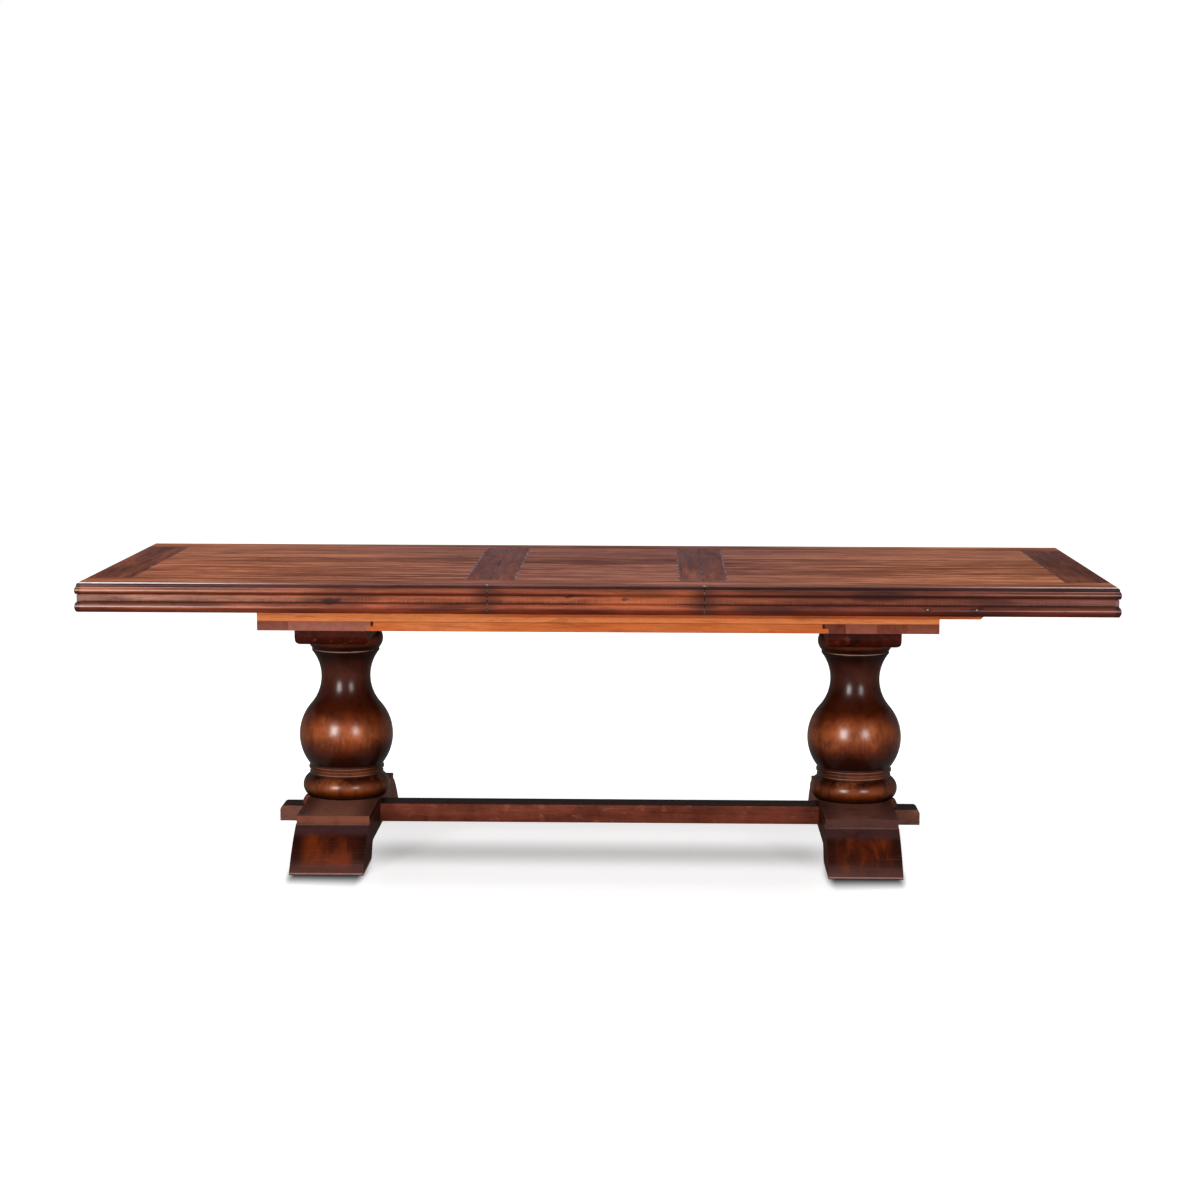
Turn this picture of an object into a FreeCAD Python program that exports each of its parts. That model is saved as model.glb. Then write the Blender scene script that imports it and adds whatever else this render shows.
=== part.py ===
import FreeCAD, Part
import math
import os
import Sketcher
from types import SimpleNamespace
from FreeCAD import Placement, Rotation, Vector

# Extending dining table on two turned pedestals, with one loose leaf between two sliding half tops.
# Frame: X along the table, Y across it (the front is -Y), Z up, origin on the floor under the middle.
# The leaf is in place. Everything is alike when turned half round about Z.

# Driving dimensions in millimetres, by the piece that they belong to.
dimensions = {
    # Whole table, open
    "halfLength": 1067, "leafWidth": 559, "tableWidth": 1067, "tableHeight": 778,
    # Boards of the top and their moulded edge
    "boardThick": 31, "borderWidth": 98, "breadboardWidth": 115, "seamBandWidth": 62, "leafBandWidth": 64,
    "shoulderInset": 13, "shoulderDrop": 11.7, "shoulderFoot": 4.5, "beadInset": 3.5, "seamGap": 0.3,
    "plankGrooveDepth": 0.8, "plankGrooveHalf": 0.7,
    # Apron built up under the edge of the top
    "apronDrop": 46.5, "apronThick": 25, "fasciaInset": 5.5, "quirkDepth": 1.5, "quirkWidth": 2.2,
    "lowerBeadDrop": 24.5, "lowerBeadInset": 3, "lowerBeadFoot": 5,
    # Cleat under the far end of each half top
    "cleatInset": 100, "cleatWidth": 50, "cleatHeight": 30, "cleatGap": 28.5,
    # Feet, one across the table under each pedestal
    "pedestalOffset": 708.5, "footHeight": 127, "footWidth": 196, "footLength": 956, "footTopLength": 640,
    "footBandHeight": 20, "footLedge": 14, "toeHeight": 6, "slopeCrownOut": 5, "slopeCrownUp": 7.5,
    "archLength": 560, "archHeight": 45, "archEase": 50,
    # Turned columns
    "torusFoot": 106, "torusRadius": 121, "collarRadius": 102.5, "beadNeck": 101, "beadRadius": 104.5,
    "quirkRadius": 102, "bulbFoot": 103, "bulbRadius": 130, "swellRadius": 97.2, "neckRadius": 68.2,
    "flareRadius": 91.6, "ringRadius": 93.5, "capFoot": 95, "capRadius": 104, "capTop": 98,
    # Bearers across the column tops
    "bearerWidth": 194, "bearerSetback": 15, "bearerHeight": 43, "bearerRound": 14, "noseDrop": 19,
    "noseLength": 47,
    # Lower frame: plates on the bearers, centre rails lapped between them, gear board
    "frameHeight": 25, "plateInner": 611, "lapStep": 10.5, "lapGap": 6, "centreRailWidth": 60,
    "gearBoardWidth": 120,
    # Fixed rails and the slides that run between them on dovetails
    "railLength": 1806, "railInset": 188.5, "railHeight": 90.7, "railThick": 28, "slideThick": 28,
    "leafGap": 0.3, "runGap": 0.5, "dovetailDepth": 9, "dovetailNeck": 14, "dovetailFlare": 3,
    "dovetailGap": 0.3, "slideReach": 309.5, "slideOuter": 743, "innerSlideOuter": 612,
    "slideRise": 11, "slideBevel": 8, "slideRelief": 1,
    # Stretcher with a tenon through each foot, held by a tapered key outside it
    "stretcherLength": 1781, "stretcherWidth": 88, "stretcherHeight": 50, "stretcherLevel": 57,
    "tenonHeight": 42.5, "tenonRound": 12, "tenonGap": 0.2, "keyThick": 24, "keyTaper": 5, "keyWidth": 30,
    "keyTop": 124, "keyFoot": 48, "keyRound": 16, "keyGap": 0.2,
    # Bolt that ties foot, column and bearer together
    "tieDiameter": 12, "tieGap": 0.5, "tieFoot": 50, "tieHeadDiameter": 24, "tieHeadHeight": 8,
    "tieRecess": 10,
    # Equalizer: pinion on the gear board between a rack under each half top
    "gearModule": 4, "gearThick": 16, "gearLift": 2, "backlash": 0.2, "gearBore": 12, "boreGap": 0.3,
    "rackDepth": 20, "carrierInset": 20, "carrierLength": 180, "pinionHeadDiameter": 22,
    "pinionHeadHeight": 6, "pinionCollarDiameter": 26,
    # Turn latch across each seam
    "latchSetback": 35, "keeperSetback": 25, "latchRailGap": 14, "latchThick": 3.7, "latchHalfWidth": 9,
    "latchTip": 19, "latchTail": 30, "latchPinDiameter": 6, "latchPinGap": 0.3, "latchFlangeDiameter": 22,
    "latchFlangeThick": 2, "latchSideGap": 0.3, "latchHeadDiameter": 12, "latchHeadThick": 2.5,
    "notchGap": 0.8,
    # How far a cut runs past the wood
    "overrun": 10,
}

# Counts, and forms that hold at any size.
gearTeeth = 16
rackTeeth = 31
rackLeadTeeth = 6
plankCount = 6
pressureAngle = math.radians(20)
addendumShare = 1.0
rackAddendumShare = 0.9
dedendumShare = 1.25
archHollowShares = ((0.28, 0.20), (0.66, 0.80))
shoulderShares = (0.78, 0.30)
noseShares = (0.27, 0.62)

# Levels of the column's turnings, as shares of its height.
torusShare, torusTopShare, collarShare = 0.065, 0.132, 0.149
beadShare, beadChamferShare, beadTopShare, bulbFootShare = 0.160, 0.0075, 0.188, 0.1965
bulbShare, swellShare, neckShare, flareShare = 0.3705, 0.5585, 0.726, 0.878
ringShare, ringTopShare, capFootShare, capShare = 0.8825, 0.8995, 0.904, 0.952


class Size:
    # A length that carries its value and the sheet expression that it comes from.

    def __init__(self, value, text):
        self.value = float(value)
        self.text = text

    def __add__(self, other):
        other = asSize(other)
        return Size(self.value + other.value, f"({self.text} + {other.text})")

    def __sub__(self, other):
        other = asSize(other)
        return Size(self.value - other.value, f"({self.text} - {other.text})")

    def __mul__(self, factor):
        factor = asSize(factor)
        return Size(self.value * factor.value, f"({self.text} * {factor.text})")

    def __truediv__(self, divisor):
        divisor = asSize(divisor)
        return Size(self.value / divisor.value, f"({self.text} / {divisor.text})")

    def __neg__(self):
        return self * -1

    __radd__ = __add__
    __rmul__ = __mul__


def asSize(item):
    return item if isinstance(item, Size) else Size(item, f"({item})")


doc = FreeCAD.newDocument("DiningTable")
sheet = doc.addObject("Spreadsheet::Sheet", "Dimensions")
for row, (alias, value) in enumerate(dimensions.items(), start=1):
    sheet.set(f"A{row}", alias)
    sheet.set(f"B{row}", str(value))
    sheet.setAlias(f"B{row}", alias)
doc.recompute()

size = SimpleNamespace(**{alias: Size(sheet.get(alias), f"Dimensions.{alias}") for alias in dimensions})

# Levels and places that several pieces share
boardBottom = size.tableHeight - size.boardThick
apronBottom = boardBottom - size.apronDrop
railTop = boardBottom - size.leafGap
railBottom = railTop - size.railHeight
frameBottom = railBottom - size.frameHeight
bearerBottom = frameBottom - size.bearerHeight
columnHeight = bearerBottom - size.footHeight
seamPlace = size.leafWidth / 2
railSpan = size.tableWidth - size.railInset * 2
innerRailFace = railSpan / 2 - size.railThick * 3 - size.slideThick * 2 - size.runGap * 4
fieldHalf = size.tableWidth / 2 - size.shoulderInset - size.borderWidth
stretcherTop = size.stretcherLevel + size.stretcherHeight
tenonTop = size.stretcherLevel + size.tenonHeight
tieBore = size.tieDiameter + size.tieGap * 2
gearPitchRadius = size.gearModule * (gearTeeth / 2)
toothPitch = size.gearModule * math.pi
gearBottom = railBottom + size.gearLift
gearTop = gearBottom + size.gearThick

# The right half round of the table, then the left one, turned half round about Z.
sides = (("right", 1), ("left", -1))


def bind(item, path, amount):
    item.setExpression(path, asSize(amount).text)


def newBody(name, place=(0, 0, 0), turn=0):
    body = doc.addObject("PartDesign::Body", name)
    body.Label = name
    body.Placement = Placement(Vector(), Rotation(Vector(0, 0, 1), turn))
    for axis, amount in zip("xyz", place):
        bind(body, f"Placement.Base.{axis}", amount)
    return body


def sideBody(name, side, x=0, y=0, z=0):
    return newBody(name, (asSize(x) * side, asSize(y) * side, z), 0 if side > 0 else 180)


def acrossName(side, way):
    return "front" if side * way < 0 else "back"


def originFeature(body, role):
    return next(feature for feature in body.Origin.OriginFeatures if feature.Role == role)


def newSketch(body, plane, offset=0):
    sketch = body.newObject("Sketcher::SketchObject", f"{body.Label}Sketch")
    sketch.AttachmentSupport = [(originFeature(body, f"{plane}_Plane"), "")]
    sketch.MapMode = "FlatFace"
    bind(sketch, "AttachmentOffset.Base.z", offset)
    return sketch


def pin(sketch, geometry, corner, point):
    # Holds one point of a sketch at its two distances from the sketch's origin.
    for kind, axis, amount in (("DistanceX", -2, point[0]), ("DistanceY", -1, point[1])):
        value = asSize(amount).value
        if value == 0:
            sketch.addConstraint(Sketcher.Constraint("PointOnObject", geometry, corner, axis))
        else:
            index = sketch.addConstraint(Sketcher.Constraint(kind, -1, 1, geometry, corner, value))
            bind(sketch, f"Constraints[{index}]", amount)


def flat(point):
    return Vector(asSize(point[0]).value, asSize(point[1]).value, 0)


def outline(body, plane, start, *legs, offset=0):
    # A closed outline. A leg is the next corner, or a point that an arc passes and the next corner.
    sketch = newSketch(body, plane, offset)
    corner = start
    pieces = []
    for leg in legs + (start,):
        if isinstance(leg[0], tuple):
            through, end = leg
            bend = (flat(through) - flat(corner)).cross(flat(end) - flat(through)).z
            ends = (corner, end) if bend > 0 else (end, corner)
            index = sketch.addGeometry(Part.Arc(flat(ends[0]), flat(through), flat(ends[1])), False)
            passed = sketch.addGeometry(Part.Point(flat(through)), True)
            pin(sketch, passed, 1, through)
            pieces.append((index, 1, 2) if bend > 0 else (index, 2, 1))
            sketch.addConstraint(Sketcher.Constraint("PointOnObject", passed, 1, index))
        else:
            end = leg
            index = sketch.addGeometry(Part.LineSegment(flat(corner), flat(end)), False)
            pieces.append((index, 1, 2))
        pin(sketch, index, pieces[-1][1], corner)
        corner = end
    for (index, first, last), (following, head, tail) in zip(pieces, pieces[1:] + pieces[:1]):
        sketch.addConstraint(Sketcher.Constraint("Coincident", index, last, following, head))
    return sketch


def circle(body, plane, centre, diameter, offset=0):
    sketch = newSketch(body, plane, offset)
    radius = asSize(diameter).value / 2
    index = sketch.addGeometry(Part.Circle(flat(centre), Vector(0, 0, 1), radius), False)
    pin(sketch, index, 3, centre)
    width = sketch.addConstraint(Sketcher.Constraint("Diameter", index, asSize(diameter).value))
    bind(sketch, f"Constraints[{width}]", diameter)
    return sketch


def pad(body, sketch, length, middle=False):
    feature = body.newObject("PartDesign::Pad", f"{body.Label}Pad")
    feature.Profile = sketch
    feature.SideType = "Symmetric" if middle else "One side"
    bind(feature, "Length", length)
    return feature


def pocket(body, sketch, length, middle=False):
    feature = body.newObject("PartDesign::Pocket", f"{body.Label}Pocket")
    feature.Profile = sketch
    feature.SideType = "Symmetric" if middle else "One side"
    bind(feature, "Length", length)
    return feature


def turned(body, sketch):
    feature = body.newObject("PartDesign::Revolution", f"{body.Label}Revolution")
    feature.Profile = sketch
    feature.ReferenceAxis = (sketch, ["V_Axis"])
    feature.Angle = 360
    return feature


def rowOf(body, feature, role, length, count):
    pattern = body.newObject("PartDesign::LinearPattern", f"{body.Label}Row")
    pattern.Originals = [feature]
    pattern.Direction = (originFeature(body, role), [""])
    bind(pattern, "Length", length)
    pattern.Occurrences = count
    body.Tip = pattern


def ringOf(body, feature, count):
    pattern = body.newObject("PartDesign::PolarPattern", f"{body.Label}Ring")
    pattern.Originals = [feature]
    pattern.Axis = (originFeature(body, "Z_Axis"), [""])
    pattern.Angle = 360
    pattern.Occurrences = count
    body.Tip = pattern


def rectangle(body, plane, low, high, offset=0):
    return outline(body, plane, low, (high[0], low[1]), high, (low[0], high[1]), offset=offset)


# Moulded edge of the boards, from the top face down to their underside.
# place() turns an inset from the widest line of the beads into a coordinate.
def boardEdge(place):
    shoulderBottom = size.tableHeight - size.shoulderDrop
    shoulderRun = size.shoulderInset - size.shoulderFoot
    beadHeight = shoulderBottom - boardBottom
    outShare, downShare = shoulderShares
    shoulderVia = size.shoulderInset - shoulderRun * outShare
    return (
        (place(size.shoulderInset), size.tableHeight),
        ((place(shoulderVia), size.tableHeight - size.shoulderDrop * downShare),
         (place(size.shoulderFoot), shoulderBottom)),
        (place(size.beadInset), shoulderBottom),
        ((place(0), boardBottom + beadHeight / 2), (place(size.beadInset), boardBottom)),
    )


# Section of the apron: quirk, flat fascia, quirk and the lower bead.
def apronSection(place):
    quirkInset = size.fasciaInset + size.quirkDepth
    beadTop = apronBottom + size.lowerBeadDrop
    return (
        (place(size.apronThick), boardBottom),
        (place(quirkInset), boardBottom),
        (place(quirkInset), boardBottom - size.quirkWidth),
        (place(size.fasciaInset), boardBottom - size.quirkWidth),
        (place(size.fasciaInset), beadTop + size.quirkWidth),
        (place(quirkInset), beadTop + size.quirkWidth),
        (place(quirkInset), beadTop),
        (place(size.lowerBeadInset), beadTop),
        ((place(0), apronBottom + size.lowerBeadDrop / 2), (place(size.lowerBeadFoot), apronBottom)),
        (place(size.apronThick), apronBottom),
    )


def frontPlace(way):
    return lambda inset: (size.tableWidth / 2 - inset) * way


def endPlace(inset):
    return size.halfLength - inset


# Field of long planks, marked by fine V grooves along their joints.
def addField(body, first, last):
    pad(body, rectangle(body, "YZ", (-fieldHalf, boardBottom), (fieldHalf, size.tableHeight), offset=first),
        last - first)
    plankWidth = fieldHalf * 2 / plankCount
    groovePlace = plankWidth - fieldHalf
    groove = pocket(
        body,
        outline(
            body, "YZ",
            (groovePlace - size.plankGrooveHalf, size.tableHeight),
            (groovePlace, size.tableHeight - size.plankGrooveDepth),
            (groovePlace + size.plankGrooveHalf, size.tableHeight),
            offset=last + size.overrun,
        ),
        last - first + size.overrun * 2,
    )
    rowOf(body, groove, "Y_Axis", plankWidth * (plankCount - 2), plankCount - 1)


def borderSection(body, way, offset=0):
    edge = boardEdge(frontPlace(way))
    return outline(body, "YZ", (fieldHalf * way, boardBottom), (fieldHalf * way, size.tableHeight), *edge,
                   offset=offset)


def mitreCut(body, way, towardEnd):
    # Takes off the corner beyond the mitre, on the end's side or on the long side.
    reach = size.apronThick + size.overrun
    outX = size.halfLength + size.overrun
    outY = (size.tableWidth / 2 + size.overrun) * way
    inX = size.halfLength - reach
    inY = (size.tableWidth / 2 - reach) * way
    third = (outX, inY) if towardEnd else (inX, outY)
    pocket(body, outline(body, "XY", (outX, outY), (inX, inY), third, offset=boardBottom + size.overrun),
           size.apronDrop + size.overrun * 2)


# Boards and aprons of the half tops; their X starts at the seam.
def buildHalfTop(sideName, side):
    breadboardInner = endPlace(size.shoulderInset + size.breadboardWidth)

    field = sideBody(f"{sideName}_field", side, seamPlace)
    addField(field, size.seamBandWidth, breadboardInner)

    band = sideBody(f"{sideName}_seam_band", side, seamPlace)
    pad(band, rectangle(band, "XZ", (0, boardBottom), (size.seamBandWidth, size.tableHeight)),
        fieldHalf * 2, True)

    breadboard = sideBody(f"{sideName}_breadboard", side, seamPlace)
    edge = boardEdge(endPlace)
    pad(breadboard, outline(breadboard, "XZ", (breadboardInner, boardBottom),
                            (breadboardInner, size.tableHeight), *edge), fieldHalf * 2, True)

    for way in (-1, 1):
        across = acrossName(side, way)
        border = sideBody(f"{sideName}_{across}_border", side, seamPlace)
        pad(border, borderSection(border, way), size.halfLength)
        pocket(border, outline(
            border, "XZ", *boardEdge(endPlace),
            (endPlace(size.beadInset), boardBottom - size.overrun),
            (size.halfLength + size.overrun, boardBottom - size.overrun),
            (size.halfLength + size.overrun, size.tableHeight + size.overrun),
            (endPlace(size.shoulderInset), size.tableHeight + size.overrun),
        ), size.tableWidth + size.overrun * 2, True)

        apron = sideBody(f"{sideName}_{across}_apron", side, seamPlace)
        pad(apron, outline(apron, "YZ", *apronSection(frontPlace(way))), size.halfLength)
        mitreCut(apron, way, True)

    endApron = sideBody(f"{sideName}_end_apron", side, seamPlace)
    pad(endApron, outline(endApron, "XZ", *apronSection(endPlace)), size.tableWidth, True)
    for way in (-1, 1):
        mitreCut(endApron, way, False)

    cleat = sideBody(f"{sideName}_end_cleat", side, seamPlace)
    cleatOuter = size.halfLength - size.cleatInset
    cleatLength = size.tableWidth - (size.apronThick + size.cleatGap) * 2
    pad(cleat, rectangle(cleat, "XZ", (cleatOuter - size.cleatWidth, boardBottom - size.cleatHeight),
                         (cleatOuter, boardBottom)), cleatLength, True)


# Leaf: boards between the two seams.
def buildLeaf():
    half = size.leafWidth / 2 - size.seamGap
    field = newBody("leaf_field")
    addField(field, size.leafBandWidth - half, half - size.leafBandWidth)
    for sideName, side in sides:
        band = sideBody(f"leaf_{sideName}_band", side)
        pad(band, rectangle(band, "XZ", (half - size.leafBandWidth, boardBottom), (half, size.tableHeight)),
            fieldHalf * 2, True)
    for way, across in ((-1, "front"), (1, "back")):
        border = newBody(f"leaf_{across}_border")
        pad(border, borderSection(border, way), half * 2, True)
        apron = newBody(f"leaf_{across}_apron")
        pad(apron, outline(apron, "YZ", *apronSection(frontPlace(way))), half * 2, True)


# Foot: a sled across the table with sloped toes, an arch below and a mortise for the stretcher.
def buildFoot(sideName, side):
    foot = sideBody(f"{sideName}_foot", side, size.pedestalOffset)
    top = size.footTopLength / 2
    toe = size.footLength / 2
    slopeTop = top + size.footLedge
    bandBottom = size.footHeight - size.footBandHeight
    archEnd = size.archLength / 2
    (lowOut, lowUp), (highOut, highUp) = archHollowShares

    crownOut = (slopeTop + toe) / 2 + size.slopeCrownOut
    crownUp = (bandBottom + size.toeHeight) / 2 + size.slopeCrownUp

    def half(way):
        return [
            (top * way, size.footHeight),
            (top * way, bandBottom),
            (slopeTop * way, bandBottom),
            ((crownOut * way, crownUp), (toe * way, size.toeHeight)),
            (toe * way, 0),
            (archEnd * way, 0),
            (((archEnd - size.archEase * lowOut) * way, size.archHeight * lowUp),
             ((archEnd - size.archEase / 2) * way, size.archHeight / 2)),
            (((archEnd - size.archEase * highOut) * way, size.archHeight * highUp),
             ((archEnd - size.archEase) * way, size.archHeight)),
        ]

    pad(foot, outline(foot, "YZ", *half(1), *reversedLegs(half(-1))), size.footWidth, True)
    hole = size.stretcherWidth / 2 + size.tenonGap
    mortise = rectangle(foot, "YZ", (-hole, size.stretcherLevel - size.tenonGap),
                        (hole, tenonTop + size.tenonGap))
    pocket(foot, mortise, size.footWidth + size.overrun * 2, True)
    pocket(foot, circle(foot, "XY", (0, 0), tieBore, offset=size.footHeight), size.footHeight - size.tieFoot)


def reversedLegs(legs):
    # The same run of legs walked from its last corner back to its first.
    corners = [leg[1] if isinstance(leg[0], tuple) else leg for leg in legs]
    turnedLegs = [corners[-1]]
    for index in range(len(legs) - 1, 0, -1):
        leg = legs[index]
        turnedLegs.append((leg[0], corners[index - 1]) if isinstance(leg[0], tuple) else corners[index - 1])
    return turnedLegs


# Column: turned in one piece, bored for the tie bolt.
def buildColumn(sideName, side):
    column = sideBody(f"{sideName}_column", side, size.pedestalOffset, 0, size.footHeight)
    bore = size.tieDiameter / 2 + size.tieGap

    def at(radius, levelShare):
        return (radius, columnHeight * levelShare)

    turned(column, outline(
        column, "XZ",
        (bore, 0),
        (size.torusFoot, 0),
        (at(size.torusRadius, torusShare), at(size.collarRadius, torusTopShare)),
        at(size.collarRadius, collarShare),
        at(size.beadNeck, collarShare),
        at(size.beadNeck, beadShare),
        at(size.beadRadius, beadShare + beadChamferShare),
        at(size.beadRadius, beadTopShare - beadChamferShare),
        at(size.quirkRadius, beadTopShare),
        at(size.quirkRadius, bulbFootShare),
        at(size.bulbFoot, bulbFootShare),
        (at(size.bulbRadius, bulbShare), at(size.swellRadius, swellShare)),
        (at(size.neckRadius, neckShare), at(size.flareRadius, flareShare)),
        at(size.ringRadius, ringShare),
        at(size.ringRadius, ringTopShare),
        at(size.capFoot, capFootShare),
        (at(size.capRadius, capShare), (size.capTop, columnHeight)),
        (bore, columnHeight),
    ))


# Bearer: cross beam on the column, with rounded lower edges and its ends cut round under.
def buildBearer(sideName, side):
    bearer = sideBody(f"{sideName}_bearer", side, size.pedestalOffset, 0, bearerBottom)
    end = railSpan / 2 - size.bearerSetback
    flank = size.bearerWidth / 2
    corner = flank - size.bearerRound
    bend = size.bearerRound * (1 - math.sqrt(0.5))
    pad(bearer, outline(
        bearer, "XZ",
        (corner, 0),
        ((flank - bend, bend), (flank, size.bearerRound)),
        (flank, size.bearerHeight),
        (-flank, size.bearerHeight),
        (-flank, size.bearerRound),
        ((bend - flank, bend), (-corner, 0)),
    ), end * 2, True)

    noseTop = size.bearerHeight - size.noseDrop
    noseFoot = end - size.noseLength
    outShare, upShare = noseShares
    viaOut = end - size.noseLength * outShare
    viaUp = noseTop * (1 - upShare)
    beyond = end + size.overrun
    for way in (-1, 1):
        pocket(bearer, outline(
            bearer, "YZ",
            (noseFoot * way, 0),
            ((viaOut * way, viaUp), (end * way, noseTop)),
            (beyond * way, noseTop),
            (beyond * way, -size.overrun),
            (noseFoot * way, -size.overrun),
        ), size.bearerWidth + size.overrun * 2, True)

    recess = size.tieHeadDiameter + size.tieGap * 2
    pocket(bearer, circle(bearer, "XY", (0, 0), tieBore, offset=size.bearerHeight), size.bearerHeight)
    pocket(bearer, circle(bearer, "XY", (0, 0), recess, offset=size.bearerHeight), size.tieRecess)


# Tie bolt: down through the bearer, column, foot and stretcher.
def tieBolt(sideName, side):
    bolt = sideBody(f"{sideName}_tie_bolt", side, size.pedestalOffset)
    headBottom = frameBottom - size.tieRecess
    turned(bolt, outline(
        bolt, "XZ",
        (0, size.tieFoot),
        (size.tieDiameter / 2, size.tieFoot),
        (size.tieDiameter / 2, headBottom),
        (size.tieHeadDiameter / 2, headBottom),
        (size.tieHeadDiameter / 2, headBottom + size.tieHeadHeight),
        (0, headBottom + size.tieHeadHeight),
    ))
    return bolt


# Stretcher: a plank between the feet, with a lower tenon through each foot and key holes outside them.
def buildStretcher():
    stretcher = newBody("stretcher")
    shoulder = size.pedestalOffset - size.footWidth / 2
    end = size.stretcherLength / 2
    corner = end - size.tenonRound
    roundBottom = tenonTop - size.tenonRound
    bend = size.tenonRound * math.sqrt(0.5)
    pad(stretcher, outline(
        stretcher, "XZ",
        (-end, size.stretcherLevel),
        (end, size.stretcherLevel),
        (end, roundBottom),
        ((corner + bend, roundBottom + bend), (corner, tenonTop)),
        (shoulder, tenonTop),
        (shoulder, stretcherTop),
        (-shoulder, stretcherTop),
        (-shoulder, tenonTop),
        (-corner, tenonTop),
        ((-corner - bend, roundBottom + bend), (-end, roundBottom)),
    ), size.stretcherWidth, True)
    above = stretcherTop + size.overrun
    keyHole = keySection(size.stretcherLevel - size.overrun, above, size.keyGap)
    for sideName, side in sides:
        pocket(stretcher, outline(stretcher, "XZ", *[(x * side, z) for x, z in keyHole]),
               size.keyWidth + size.keyGap * 2, True)
        pocket(stretcher, circle(stretcher, "XY", (size.pedestalOffset * side, 0), tieBore, offset=above),
               size.stretcherHeight + size.overrun * 2)


def keySection(low, high, gap=0):
    # The key's wedge between two levels: its inner face on the foot, its outer face tapered.
    inner = size.pedestalOffset + size.footWidth / 2
    outer = inner + size.keyThick
    slope = size.keyTaper / (size.keyTop - size.keyFoot)
    return (
        (inner, low),
        (outer - slope * (size.keyTop - low) + gap, low),
        (outer - slope * (size.keyTop - high) + gap, high),
        (inner, high),
    )


# Wedge key: driven down through the stretcher against the foot.
def buildKey(sideName, side):
    key = sideBody(f"{sideName}_wedge_key", side)
    lowIn, lowOut, highOut, highIn = keySection(size.keyFoot, size.keyTop)
    bend = size.keyRound * (1 - math.sqrt(0.5))
    roundBottom = keySection(size.keyFoot, size.keyTop - size.keyRound)[2]
    pad(key, outline(
        key, "XZ",
        lowIn,
        lowOut,
        roundBottom,
        ((highOut[0] - bend, size.keyTop - bend), (highOut[0] - size.keyRound, size.keyTop)),
        highIn,
    ), size.keyWidth, True)


# Lower frame: a plate on each bearer.
def buildPlate(sideName, side):
    plate = sideBody(f"{sideName}_plate", side, 0, 0, frameBottom)
    outer = size.railLength / 2
    pad(plate, outline(
        plate, "XZ",
        (size.plateInner, 0),
        (outer, 0),
        (outer, size.frameHeight),
        (size.plateInner - size.lapStep, size.frameHeight),
        (size.plateInner - size.lapStep, size.frameHeight / 2),
        (size.plateInner, size.frameHeight / 2),
    ), railSpan, True)


# Centre rails, lapped under the plates' tongues.
def buildCentreRail(across, way):
    middle = (railSpan - size.centreRailWidth) / 2
    rail = newBody(f"{across}_centre_rail", (0, middle * way, frameBottom))
    short = size.plateInner - size.lapStep - size.lapGap
    pad(rail, outline(
        rail, "XZ",
        (-size.plateInner, 0),
        (size.plateInner, 0),
        (size.plateInner, size.frameHeight / 2),
        (short, size.frameHeight / 2),
        (short, size.frameHeight),
        (-short, size.frameHeight),
        (-short, size.frameHeight / 2),
        (-size.plateInner, size.frameHeight / 2),
    ), size.centreRailWidth, True)


# Gear board between the centre rails.
def buildGearBoard():
    board = newBody("gear_board", (0, 0, frameBottom))
    half = size.gearBoardWidth / 2
    pad(board, rectangle(board, "XZ", (-half, 0), (half, size.frameHeight)),
        railSpan - size.centreRailWidth * 2, True)
    pocket(board, circle(board, "XY", (0, 0), size.gearBore, offset=size.frameHeight), size.frameHeight)


# Dovetail section on one face, walked upward; out is +1 for a tongue and -1 for a groove.
def dovetail(face, way, middle, gap):
    depth = size.dovetailDepth + gap
    neck = size.dovetailNeck / 2 + gap
    wide = neck + size.dovetailFlare
    return [
        (face, middle - neck),
        (face + depth * way, middle - wide),
        (face + depth * way, middle + wide),
        (face, middle + neck),
    ]


# Fixed rails: three a side, grooved on the faces that a slide runs along.
def buildFixedRails():
    half = size.railThick / 2
    middle = size.railHeight / 2
    step = size.railThick + size.slideThick + size.runGap * 2
    for across, way in (("front", -1), ("back", 1)):
        for place, (name, grooves) in enumerate((("outer", (-1,)), ("middle", (-1, 1)), ("inner", (1,)))):
            offset = railSpan / 2 - half - step * place
            rail = newBody(f"{across}_{name}_rail", (0, offset * way, railBottom))
            # The sketch's +Y side faces the table's edge when way is 1.
            inside = -half * way
            outside = half * way
            section = [(inside, 0), (outside, 0)]
            if 1 in grooves:
                section += dovetail(outside, -way, middle, size.dovetailGap)
            section += [(outside, size.railHeight), (inside, size.railHeight)]
            if -1 in grooves:
                section += dovetail(inside, way, middle, size.dovetailGap)[::-1]
            pad(rail, outline(rail, "YZ", *section), size.railLength, True)


# Slides: two under each half top, with a dovetail tongue on both faces. The outer one is longer.
def buildSlides(sideName, side):
    step = size.railThick + size.runGap
    outerPlace = railSpan / 2 - step - size.slideThick / 2
    innerPlace = outerPlace - step - size.slideThick - size.runGap
    bottom = railBottom + size.slideRise
    middle = railBottom + size.railHeight / 2
    for way, place, outer in ((-1, outerPlace, size.slideOuter), (1, innerPlace, size.innerSlideOuter)):
        slide = sideBody(f"{sideName}_{acrossName(side, way)}_slide", side, seamPlace, place * way)
        pad(slide, outline(
            slide, "XZ",
            (-size.slideReach, bottom),
            (outer - size.slideBevel, bottom),
            (outer, bottom + size.slideBevel),
            (outer, boardBottom),
            (0, boardBottom),
            (0, boardBottom - size.slideRelief),
            (-size.slideReach, boardBottom - size.slideRelief),
        ), size.slideThick, True)
        for face in (-1, 1):
            tongue = dovetail(size.slideThick / 2 * face, face, middle, 0)
            pad(slide, outline(slide, "YZ", *tongue, offset=-size.slideReach),
                size.slideReach + outer)


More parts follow.
